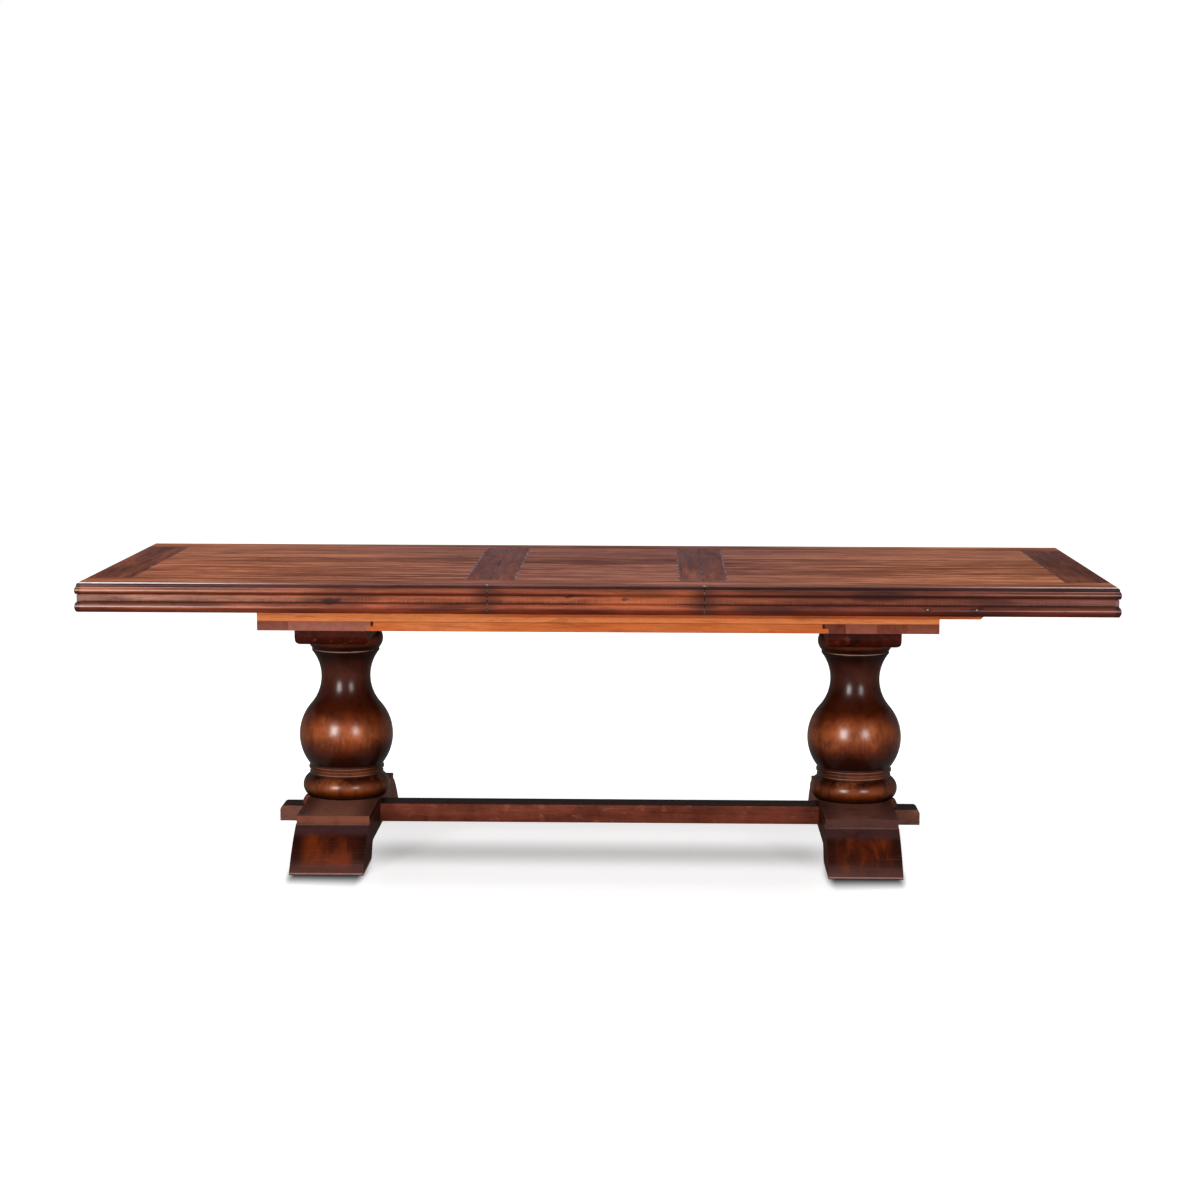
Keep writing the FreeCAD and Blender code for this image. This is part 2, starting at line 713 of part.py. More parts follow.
# Involute tooth of the pinion, its flanks as arcs through three true points.
def toothPoints():
    baseShare = gearTeeth / 2 * math.cos(pressureAngle)
    pitchShare = gearTeeth / 2
    tipShare = pitchShare + addendumShare

    def halfAngle(share):
        angle = math.acos(min(baseShare / share, 1))
        return math.tan(pressureAngle) - pressureAngle - (math.tan(angle) - angle)

    def point(share, way):
        turn = math.pi / (2 * gearTeeth) + halfAngle(share)
        radius = size.gearModule * share
        return (radius * math.cos(turn), (radius * math.sin(turn) - size.backlash / 2) * way)

    flankShares = (baseShare, (baseShare + tipShare) / 2, tipShare)
    return [point(share, way) for way in (-1, 1) for share in flankShares]


# Pinion of the equalizer.
def buildPinion():
    pinion = newBody("pinion", (0, 0, gearBottom))
    rootRadius = gearPitchRadius - size.gearModule * dedendumShare
    pad(pinion, circle(pinion, "XY", (0, 0), rootRadius * 2), size.gearThick)
    lowBase, lowFlank, lowTip, highBase, highFlank, highTip = toothPoints()
    inner = rootRadius - size.gearModule / 2
    tipRadius = gearPitchRadius + size.gearModule * addendumShare
    tooth = pad(pinion, outline(
        pinion, "XY",
        (inner, lowBase[1]),
        lowBase,
        (lowFlank, lowTip),
        ((tipRadius, 0), highTip),
        (highFlank, highBase),
        (inner, highBase[1]),
    ), size.gearThick)
    ringOf(pinion, tooth, gearTeeth)
    bore = size.gearBore + size.boreGap * 2
    pocket(pinion, circle(pinion, "XY", (0, 0), bore, offset=size.gearThick), size.gearThick)


# Pivot of the pinion: a headed pin with a collar under the gear.
def buildPinionPivot():
    pivot = newBody("pinion_pivot")
    shank = size.gearBore / 2
    headBottom = gearTop + size.boreGap
    turned(pivot, outline(
        pivot, "XZ",
        (0, frameBottom),
        (shank, frameBottom),
        (shank, railBottom),
        (size.pinionCollarDiameter / 2, railBottom),
        (size.pinionCollarDiameter / 2, gearBottom - size.boreGap),
        (shank, gearBottom - size.boreGap),
        (shank, headBottom),
        (size.pinionHeadDiameter / 2, headBottom),
        (size.pinionHeadDiameter / 2, headBottom + size.pinionHeadHeight),
        (0, headBottom + size.pinionHeadHeight),
    ))


# Rack: a toothed bar hung from the half top by the block that it is cut from.
def buildRack(sideName, side):
    rack = sideBody(f"{sideName}_rack", side)
    root = gearPitchRadius + size.gearModule * dedendumShare
    back = root + size.rackDepth
    tip = gearPitchRadius - size.gearModule * rackAddendumShare
    first = toothPitch * -rackLeadTeeth
    carrierStart = seamPlace + size.carrierInset
    carrierEnd = carrierStart + size.carrierLength
    pad(rack, outline(
        rack, "XZ",
        (first, gearBottom),
        (carrierEnd, gearBottom),
        (carrierEnd, boardBottom),
        (carrierStart, boardBottom),
        (carrierStart, gearTop),
        (first, gearTop),
        offset=root,
    ), size.rackDepth)
    pitchHalf = toothPitch / 4 - size.backlash / 2
    slope = math.tan(pressureAngle)
    tipHalf = pitchHalf - (gearPitchRadius - tip) * slope
    rootHalf = pitchHalf + (root - gearPitchRadius) * slope
    middle = first + toothPitch / 2
    sunk = root + size.gearModule / 2
    tooth = pad(rack, outline(
        rack, "XY",
        (middle - tipHalf, -tip),
        (middle - rootHalf, -root),
        (middle - rootHalf, -sunk),
        (middle + rootHalf, -sunk),
        (middle + rootHalf, -root),
        (middle + tipHalf, -tip),
        offset=gearBottom,
    ), size.gearThick)
    rowOf(rack, tooth, "X_Axis", toothPitch * (rackTeeth - 1), rackTeeth)


# Turn latch: lever and pivot on the half top. Returns the keeper post, which is on the leaf.
def buildLatch(sideName, side):
    leverTop = boardBottom - size.latchFlangeThick - size.latchSideGap
    leverBottom = leverTop - size.latchThick
    pinRadius = size.latchPinDiameter / 2
    flangeRadius = size.latchFlangeDiameter / 2

    half = size.latchHalfWidth
    notch = pinRadius + size.notchGap
    reach = size.latchSetback + size.keeperSetback
    tip = reach + size.latchTip
    pivotPlace = (seamPlace + size.latchSetback, innerRailFace - size.latchRailGap - tip)
    keeperPlace = (seamPlace - size.keeperSetback, pivotPlace[1])
    lever = sideBody(f"{sideName}_latch_lever", side, *pivotPlace, leverBottom)
    # Unlocked, the lever lies along the seam, with its notch open towards it.
    pad(lever, outline(
        lever, "XY",
        (-half, half - size.latchTail),
        ((0, -size.latchTail), (half, half - size.latchTail)),
        (half, tip - half),
        ((0, tip), (-half, tip - half)),
        (-half, reach + notch),
        (0, reach + notch),
        ((notch, reach), (0, reach - notch)),
        (-half, reach - notch),
    ), size.latchThick)
    eye = size.latchPinDiameter + size.latchPinGap * 2
    pocket(lever, circle(lever, "XY", (0, 0), eye, offset=size.latchThick), size.latchThick)

    pivot = sideBody(f"{sideName}_latch_pivot", side, *pivotPlace)
    headTop = leverBottom - size.latchSideGap
    turned(pivot, outline(
        pivot, "XZ",
        (0, headTop - size.latchHeadThick),
        (size.latchHeadDiameter / 2, headTop - size.latchHeadThick),
        (size.latchHeadDiameter / 2, headTop),
        (pinRadius, headTop),
        (pinRadius, boardBottom - size.latchFlangeThick),
        (flangeRadius, boardBottom - size.latchFlangeThick),
        (flangeRadius, boardBottom),
        (0, boardBottom),
    ))

    keeper = sideBody(f"leaf_{sideName}_latch_post", side, *keeperPlace)
    turned(keeper, outline(
        keeper, "XZ",
        (0, headTop),
        (pinRadius, headTop),
        (pinRadius, boardBottom - size.latchFlangeThick),
        (flangeRadius, boardBottom - size.latchFlangeThick),
        (flangeRadius, boardBottom),
        (0, boardBottom),
    ))
    return keeper


# Like fasteners, one a side, kept together under one name.
def gather(name, members):
    group = doc.addObject("Part::Compound", name)
    group.Label = name
    group.Links = members
    return group


def buildTable():
    for sideName, side in sides:
        buildFoot(sideName, side)
        buildColumn(sideName, side)
        buildBearer(sideName, side)
        buildKey(sideName, side)
        buildPlate(sideName, side)
        buildHalfTop(sideName, side)
        buildSlides(sideName, side)
        buildRack(sideName, side)
    gather("tie_bolts", [tieBolt(sideName, side) for sideName, side in sides])
    gather("leaf_latch_posts", [buildLatch(sideName, side) for sideName, side in sides])
    buildStretcher()
    for across, way in (("front", -1), ("back", 1)):
        buildCentreRail(across, way)
    buildGearBoard()
    buildFixedRails()
    buildPinion()
    buildPinionPivot()
    buildLeaf()


def checkedPieces():
    doc.recompute()
    for item in doc.Objects:
        if {"Invalid", "Error"} & set(item.State):
            raise RuntimeError(f"{item.Label} failed: {item.State}")
    groups = [item for item in doc.Objects if item.isDerivedFrom("Part::Compound")]
    grouped = [member for group in groups for member in group.Links]
    bodies = [item for item in doc.Objects if item.isDerivedFrom("PartDesign::Body")]
    for body in bodies:
        if body.Shape.isNull() or not body.Shape.isValid() or len(body.Shape.Solids) != 1:
            raise RuntimeError(f"{body.Label} isn't one sound solid")
    return [body for body in bodies if body not in grouped] + groups


buildTable()
os.makedirs("parts", exist_ok=True)
for piece in checkedPieces():
    piece.Shape.exportStep(f"parts/{piece.Label}.step")
    print(piece.Label, round(piece.Shape.Volume))
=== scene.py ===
import math
import bpy
from mathutils import Matrix, Vector
from types import SimpleNamespace

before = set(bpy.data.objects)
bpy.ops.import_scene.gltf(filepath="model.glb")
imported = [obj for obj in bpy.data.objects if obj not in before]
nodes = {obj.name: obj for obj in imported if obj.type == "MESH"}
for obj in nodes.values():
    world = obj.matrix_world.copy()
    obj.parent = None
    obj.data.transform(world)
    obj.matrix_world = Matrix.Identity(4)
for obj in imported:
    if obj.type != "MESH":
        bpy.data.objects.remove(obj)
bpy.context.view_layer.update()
print("frame loaded:", len(nodes), "pieces")


def paint(red, green, blue):
    # A colour as it shows on screen, turned into the linear one that shaders take.
    def linear(share):
        return share / 12.92 if share <= 0.04045 else ((share + 0.055) / 1.055) ** 2.4
    return (*[linear(channel / 255) for channel in (red, green, blue)], 1)


class Wire:
    # A value inside a shader. Arithmetic on it adds Math nodes.

    def __init__(self, finish, socket):
        self.finish = finish
        self.socket = socket

    def maths(self, operation, *others):
        return self.finish.maths(operation, self, *others)

    def __add__(self, other):
        return self.maths("ADD", other)

    def __sub__(self, other):
        return self.maths("SUBTRACT", other)

    def __rsub__(self, other):
        return self.finish.maths("SUBTRACT", other, self)

    def __mul__(self, other):
        return self.maths("MULTIPLY", other)

    def __truediv__(self, other):
        return self.maths("DIVIDE", other)

    def __pow__(self, other):
        return self.maths("POWER", other)

    def __abs__(self):
        return self.maths("ABSOLUTE")

    __radd__ = __add__
    __rmul__ = __mul__


class Finish:
    # One shader under construction: a material's, or the world's when that is its home.
    # A material's x, y and z are the point on the table, in metres at rest.

    def __init__(self, name="", home=None):
        self.home = home or bpy.data.materials.new(name)
        self.home.use_nodes = True
        self.tree = self.home.node_tree
        self.tree.nodes.clear()
        if home is None:
            place = self.node("TexCoord", out="Object")
            self.x, self.y, self.z = self.node("SeparateXYZ", inputs={0: place}, out=("X", "Y", "Z"))

    def node(self, kind, settings=None, inputs=None, out=0):
        made = self.tree.nodes.new("ShaderNode" + kind)
        for name, value in (settings or {}).items():
            if name == "stops":
                self.setStops(made.color_ramp, value)
            else:
                setattr(made, name, value)
        for name, value in (inputs or {}).items():
            if isinstance(value, Wire):
                self.tree.links.new(value.socket, made.inputs[name])
            else:
                made.inputs[name].default_value = value
        if isinstance(out, tuple):
            return tuple(Wire(self, made.outputs[name]) for name in out)
        return Wire(self, made.outputs[out]) if made.outputs else made

    def setStops(self, ramp, stops):
        while len(ramp.elements) < len(stops):
            ramp.elements.new(1)
        for element, (position, colour) in zip(ramp.elements, stops):
            element.position = position
            element.color = paint(*colour)

    def maths(self, operation, *values):
        return self.node("Math", {"operation": operation}, dict(enumerate(values)))

    def vector(self, x, y, z):
        return self.node("CombineXYZ", inputs={0: x, 1: y, 2: z})

    def noise(self, place, detail=3, rough=0.55, twist=0.0):
        return self.node("TexNoise", inputs={"Vector": place, "Scale": 1, "Detail": detail,
                                             "Roughness": rough, "Distortion": twist})

    def stretched(self, scales, detail=3, rough=0.55, twist=0.0):
        # Noise over the whole table, with its own scale along each axis.
        place = [axis * scale if scale else 0.0 for axis, scale in zip((self.x, self.y, self.z), scales)]
        return self.noise(self.vector(*place), detail, rough, twist)

    def chance(self, number):
        # A share from 0 to 1 that belongs to a whole number.
        return self.node("TexWhiteNoise", {"noise_dimensions": "1D"}, {"W": number + 0.5})

    def fade(self, value, low, high):
        # 0 at low and 1 at high, whichever of them is larger.
        return self.node("MapRange", {"interpolation_type": "SMOOTHSTEP"},
                         {"Value": value, "From Min": low, "From Max": high})

    def effect(self, value, low, high, depth):
        # 0 at low and depth at high.
        return self.fade(value, low, high) * depth

    def line(self, distance, width):
        # 1 on a line, out to half its width, and 0 a width away.
        return self.fade(abs(distance), width, width / 2)

    def oval(self, across, up, wide, high):
        # 1 in the middle of an oval and 0 at its rim.
        across, up = across / wide, up / high
        return self.fade(across * across + up * up, 1.0, 0.1)

    def facing(self):
        # How far a face looks along x and up, each from -1 to 1.
        normal = self.node("NewGeometry", out="Normal")
        return self.node("SeparateXYZ", inputs={0: normal}, out=("X", "Z"))

    def side(self, blur=0.02):
        # 1 on the table's front side and -1 on its back.
        return self.fade(self.y, blur, -blur) * 2 - 1

    def tone(self, value, *stops):
        return self.node("ValToRGB", {"stops": stops}, {0: value})

    def byLevel(self, height, levels):
        # Tones that change with the height.
        low, high = levels[0][0], levels[-1][0]
        return self.tone((height - low) / (high - low),
                         *[((level - low) / (high - low), tint) for level, tint in levels])

    def blend(self, share, low, high, mode="MIX"):
        low, high = (end if isinstance(end, Wire) else paint(*end) for end in (low, high))
        return self.node("Mix", {"data_type": "RGBA", "blend_type": mode}, {0: share, 6: low, 7: high}, out=2)

    def tinted(self, colour, tint):
        return self.blend(1.0, colour, tint, "MULTIPLY")

    def scaled(self, colour, factor):
        return self.node("VectorMath", {"operation": "SCALE"}, {0: colour, "Scale": factor})

    def bump(self, height, depth, under=None):
        inputs = {"Height": height, "Distance": depth, "Strength": 1}
        if under:
            inputs["Normal"] = under
        return self.node("Bump", inputs=inputs, out="Normal")

    def surface(self, colour, roughness, normal, coat=None, coatRough=0.22, also=None):
        # A lacquered face shines by its coat alone.
        inputs = {"Base Color": colour, "Roughness": roughness, "Normal": normal}
        if coat is not None:
            inputs.update({"Specular IOR Level": 0, "Coat Weight": coat, "Coat Roughness": coatRough})
        inputs.update(also or {})
        shader = self.node("BsdfPrincipled", inputs=inputs)
        self.node("OutputMaterial", inputs={"Surface": shader})
        return self.home


grainLayers = {
    # Scale along the grain, scale across it, detail, roughness, distortion.
    "patch": (1.7, 5, 3, 0.55, 0.0),
    "band": (2.2, 17, 3, 0.6, 0.3),
    "streak": (3.4, 62, 4, 0.62, 0.35),
    "fleck": (5.0, 42, 5, 0.68, 0.3),
    "ring": (0.6, 6.5, 2, 0.4, 0.3),
    "fibre": (15, 260, 3, 0.65, 0.0),
    "pore": (34, 620, 2, 0.5, 0.0),
}
yearRings, ringDark, ringPale = 24, (0.0, 0.55), (1.0, 0.8)
poreShare = (0.40, 0.33)


def woodGrain(finish, along, shift=0.0):
    # Tones that run along one axis: patches, bands, streaks, flecks, yearly rings, fibres and pores.
    x, y, z = finish.x, finish.y, finish.z
    run, across, deep = {"x": (x, y, z), "y": (y, x, z), "z": (z, x, y)}[along]
    run = run + shift
    grain = SimpleNamespace()
    for name, (runScale, acrossScale, *noise) in grainLayers.items():
        place = finish.vector(run * runScale, across * acrossScale + shift, deep * acrossScale)
        setattr(grain, name, finish.noise(place, *noise))
    rings = (grain.ring * yearRings).maths("FRACT")
    grain.ring = finish.fade(rings, *ringDark) * finish.fade(rings, *ringPale)
    grain.pore = finish.fade(grain.pore, *poreShare)
    return grain


def weighed(grain, weights):
    first, *rest = [getattr(grain, name) * weight for name, weight in weights.items()]
    return sum(rest, first)


def groundTone(finish, grain, look):
    # The wood's own colour: its grain, run through the tones from dark to light.
    stops = [(stop, look[name]) for name, stop in look["stops"].items()]
    return finish.tone(weighed(grain, look["mix"]) - look["less"], *stops)


def relief(finish, grain, look):
    return finish.bump(weighed(grain, look["relief"]), look["depth"])


def boardFace(finish, colour, grain, look, coat):
    roughness = look["flat"] + grain.patch * look["patchGloss"]
    return finish.surface(colour, roughness, relief(finish, grain, look), coat)


# The moulded top, in metres. Between the two places of sun the wood is ever less faded.
top = {
    "height": 0.778, "fieldHalf": 0.4225, "planks": 6, "breadboardInner": 1.2185, "seam": 0.2795,
    "seamBand": 0.3415, "leafBand": 0.2152, "shoulder": 0.5205, "sun": (1.05, 0.25),
}

# Joints round the dark boards. Widths are half the width of the wear, in metres.
joints = {
    "seamBandWidth": 0.0034, "leafBandWidth": 0.0030, "seamWidth": 0.0028, "alongWidth": 0.0060,
    "endWidth": 0.0020, "along": 0.7, "ends": 0.5, "wander": 0.004, "blur": 0.001, "onTop": (0.0025, 0.0008),
    "broken": (0.47, 0.60), "seamPale": 0.6, "dark": 0.55, "pale": 0.75,
    "chip": 0.137, "chipSize": (0.008, 0.012),
    # Noises, here and below: scales along x, y and z, detail, roughness and distortion.
    # Those whose place is worked out first have no scales.
    "driftNoise": ((25, 25, 0), 2), "breakNoise": ((70, 42, 0), 3, 0.75),
}


def scuffs(finish):
    # A dark seam at each joint, and pale scuffs on it that wear has broken up.
    x, y = abs(finish.x), abs(finish.y)
    look, blur = joints, joints["blur"]
    drift = (finish.stretched(*look["driftNoise"]) - 0.5) * look["wander"]
    inField = finish.fade(y, top["fieldHalf"] + 2 * blur, top["fieldHalf"] + blur)
    atSeamBand = finish.line(x - top["seamBand"] + drift, look["seamBandWidth"])
    atLeafBand = finish.line(x - top["leafBand"] + drift, look["leafBandWidth"])
    atSeam = finish.line(x - top["seam"], look["seamWidth"]) * inField
    across = (atSeamBand + atLeafBand) * inField + atSeam
    inBands = finish.fade(x, top["seamBand"] + blur, top["seamBand"])
    inBands = inBands * finish.fade(x, top["leafBand"] - blur, top["leafBand"])
    along = finish.line(y - top["fieldHalf"] + drift, look["alongWidth"]) * inBands
    ends = finish.line(x - top["breadboardInner"] + drift, look["endWidth"]) * inField
    onTop = finish.fade(finish.z, *[top["height"] - below for below in look["onTop"]])
    seams = (across + along * look["along"] + ends * look["ends"]).maths("MINIMUM", 1) * onTop
    broken = finish.fade(finish.stretched(*look["breakNoise"]), *look["broken"])
    chip = finish.oval(finish.x + top["breadboardInner"], finish.y + look["chip"], *look["chipSize"]) * onTop
    return seams, (seams - atSeam * onTop * look["seamPale"]) * broken + chip


def scuffed(finish, colour, look):
    seams, pale = scuffs(finish)
    colour = finish.blend(seams * joints["dark"], colour, look["joint"])
    return finish.blend(pale.maths("MINIMUM", 1) * joints["pale"], colour, look["scuff"])


def sunlit(finish, colour, shade):
    # The wood under the leaf and near the seams is less faded than the far ends.
    return finish.blend(finish.fade(abs(finish.x), *top["sun"]), colour, finish.tinted(colour, shade))


fieldLook = {
    "dark": (100, 50, 32), "middle": (154, 92, 64), "light": (208, 134, 96), "joint": (56, 32, 28),
    "sheen": (170, 128, 122), "far": (122, 82, 76), "scuff": (160, 140, 146), "shade": (200, 202, 234),
    # How much each layer of the grain counts, and where the tones sit on their sum.
    "mix": {"streak": 0.7, "fleck": 0.55, "band": 0.3, "patch": 0.45, "fibre": 0.6, "own": 0.17},
    "less": 0.885,
    "stops": {"dark": 0.33, "middle": 0.5, "light": 0.69},
    # Effects are given as from, to and depth.
    "rings": 0.28, "darkStreaks": (0.40, 0.27, 0.40), "pores": 0.40, "knots": (0.11, 0.02, 0.7),
    "knotShare": (0.62, 0.70), "sheens": (0.54, 0.70, 0.30), "sheenRun": (1.2, 0.5), "dashes": 0.6,
    "bright": 1.01, "lift": (0.1, -0.4, 0.06), "fading": (-0.1, 0.5, 0.42),
    "plankJoint": (0.0022, 0.0008, 0.6),
    "relief": {"fibre": 0.5, "pore": -0.6, "streak": 0.4}, "depth": 0.0006, "wearDepth": 0.0015,
    "wearGloss": 0.3, "flat": 0.42, "coat": 0.035,
    "wearNoise": ((6, 9, 0), 4, 0.6), "dashNoise": (3, 0.6), "ownShift": 9, "sectionStep": 11,
    # Scale along a plank, scale across it, and how far the plank's own share moves it.
    "knotPlace": (1.5, 4.6, 5), "dashPlace": (18, 80, 9),
}


def onPlank(finish, own, along, across, shift):
    # A place in a texture that starts elsewhere on each plank.
    return finish.vector(finish.x * along + own * shift, finish.y * across, 0.0)


def fieldWood():
    # Long planks of streaky red-brown wood with dark knots, each plank with its own grain.
    finish = Finish("fieldWood")
    look = fieldLook
    plankWidth = 2 * top["fieldHalf"] / top["planks"]
    plank = (finish.y + top["fieldHalf"]) * (1 / plankWidth)
    section = finish.x.maths("SIGN") * finish.fade(abs(finish.x), top["seam"], top["seam"] + joints["blur"])
    own = finish.chance(plank.maths("FLOOR") + section * look["sectionStep"])
    grain = woodGrain(finish, "x", own * look["ownShift"])
    grain.own = own
    colour = groundTone(finish, grain, look)
    colour = finish.blend(grain.ring * look["rings"], colour, look["dark"])
    colour = finish.blend(finish.effect(grain.streak, *look["darkStreaks"]), colour, look["joint"])
    colour = finish.blend(grain.pore * look["pores"], colour, look["joint"])
    place = onPlank(finish, own, *look["knotPlace"])
    toKnot, knotTint = finish.node("TexVoronoi", {"feature": "F1"}, {"Vector": place, "Scale": 1},
                                   out=("Distance", "Color"))
    chosen = finish.fade(finish.node("SeparateColor", inputs={0: knotTint}, out="Red"), *look["knotShare"])
    colour = finish.blend(finish.effect(toKnot, *look["knots"]) * chosen, colour, look["joint"])
    colour = sunlit(finish, colour, look["shade"])
    # Painted sheen: pale streaks toward the middle of the top.
    sheen = finish.effect(grain.fleck, *look["sheens"]) * finish.fade(abs(finish.x), *look["sheenRun"])
    colour = finish.blend(sheen, colour, look["sheen"])
    dashes = finish.noise(onPlank(finish, own, *look["dashPlace"]), *look["dashNoise"])
    # The top is painted a little lighter toward the front.
    lift = finish.effect(finish.y, *look["lift"]) + look["bright"]
    colour = finish.scaled(colour, (dashes - 0.5) * look["dashes"] + lift)
    # Painted reflection: the top greys toward the back.
    colour = finish.blend(finish.effect(finish.y, *look["fading"]), colour, look["far"])
    toJoint = (0.5 - abs(plank.maths("FRACT") - 0.5)) * plankWidth
    colour = finish.blend(finish.effect(toJoint, *look["plankJoint"]), colour, look["joint"])
    colour = scuffed(finish, colour, look)
    wear = finish.stretched(*look["wearNoise"])
    normal = finish.bump(wear, look["wearDepth"], relief(finish, grain, look))
    return finish.surface(colour, look["flat"] + (wear - 0.5) * look["wearGloss"], normal, coat=look["coat"])


bandLook = {
    "dark": (66, 34, 27), "middle": (106, 56, 42), "light": (146, 84, 60), "joint": (40, 24, 24),
    "haze": (98, 70, 72), "scuff": (150, 134, 142), "shift": 3.1,
    "mix": {"streak": 0.7, "fleck": 0.6, "band": 0.6, "patch": 0.5, "fibre": 0.2}, "less": 0.8,
    "stops": {"dark": 0.28, "middle": 0.5, "light": 0.76}, "rings": 0.25, "pores": 0.5,
    # The haze, polish haze with a painted sheen, grows toward the seams and toward the back, where clouds of
    # it are.
    "hazeInward": (0.9, 0.4, 0.45), "hazeBack": (-0.1, 0.4, 0.40), "clouds": (0.25, 0.6),
    "cloudNoise": ((14, 8, 0), 4, 0.65),
    "relief": {"fibre": 0.5, "pore": -0.6, "streak": 0.5}, "depth": 0.0007,
    "flat": 0.42, "patchGloss": 0.1, "edgeGloss": 0.12, "coat": 0.035, "edgeCoat": 0.08,
}


def bandWood():
    # Dark cross boards at the seams and ends. Those at the seams are hazed by polish and a painted sheen.
    finish = Finish("crossBandWood")
    look = bandLook
    grain = woodGrain(finish, "y", look["shift"])
    colour = groundTone(finish, grain, look)
    colour = finish.blend(grain.ring * look["rings"], colour, look["dark"])
    colour = finish.blend(grain.pore * look["pores"], colour, look["joint"])
    # Polish haze with a painted sheen, in clouds toward the seams and the back.
    clouds = finish.fade(finish.stretched(*look["cloudNoise"]), *look["clouds"])
    hazed = finish.effect(abs(finish.x), *look["hazeInward"]) + finish.effect(finish.y, *look["hazeBack"])
    colour = finish.blend(hazed * clouds, colour, look["haze"])
    colour = scuffed(finish, colour, look)
    colour, below = mouldedEdge(finish, colour, grain, "y")
    return finish.surface(colour, look["flat"] + grain.patch * look["patchGloss"] - below * look["edgeGloss"],
                          relief(finish, grain, look), coat=look["coat"] + below * look["edgeCoat"])


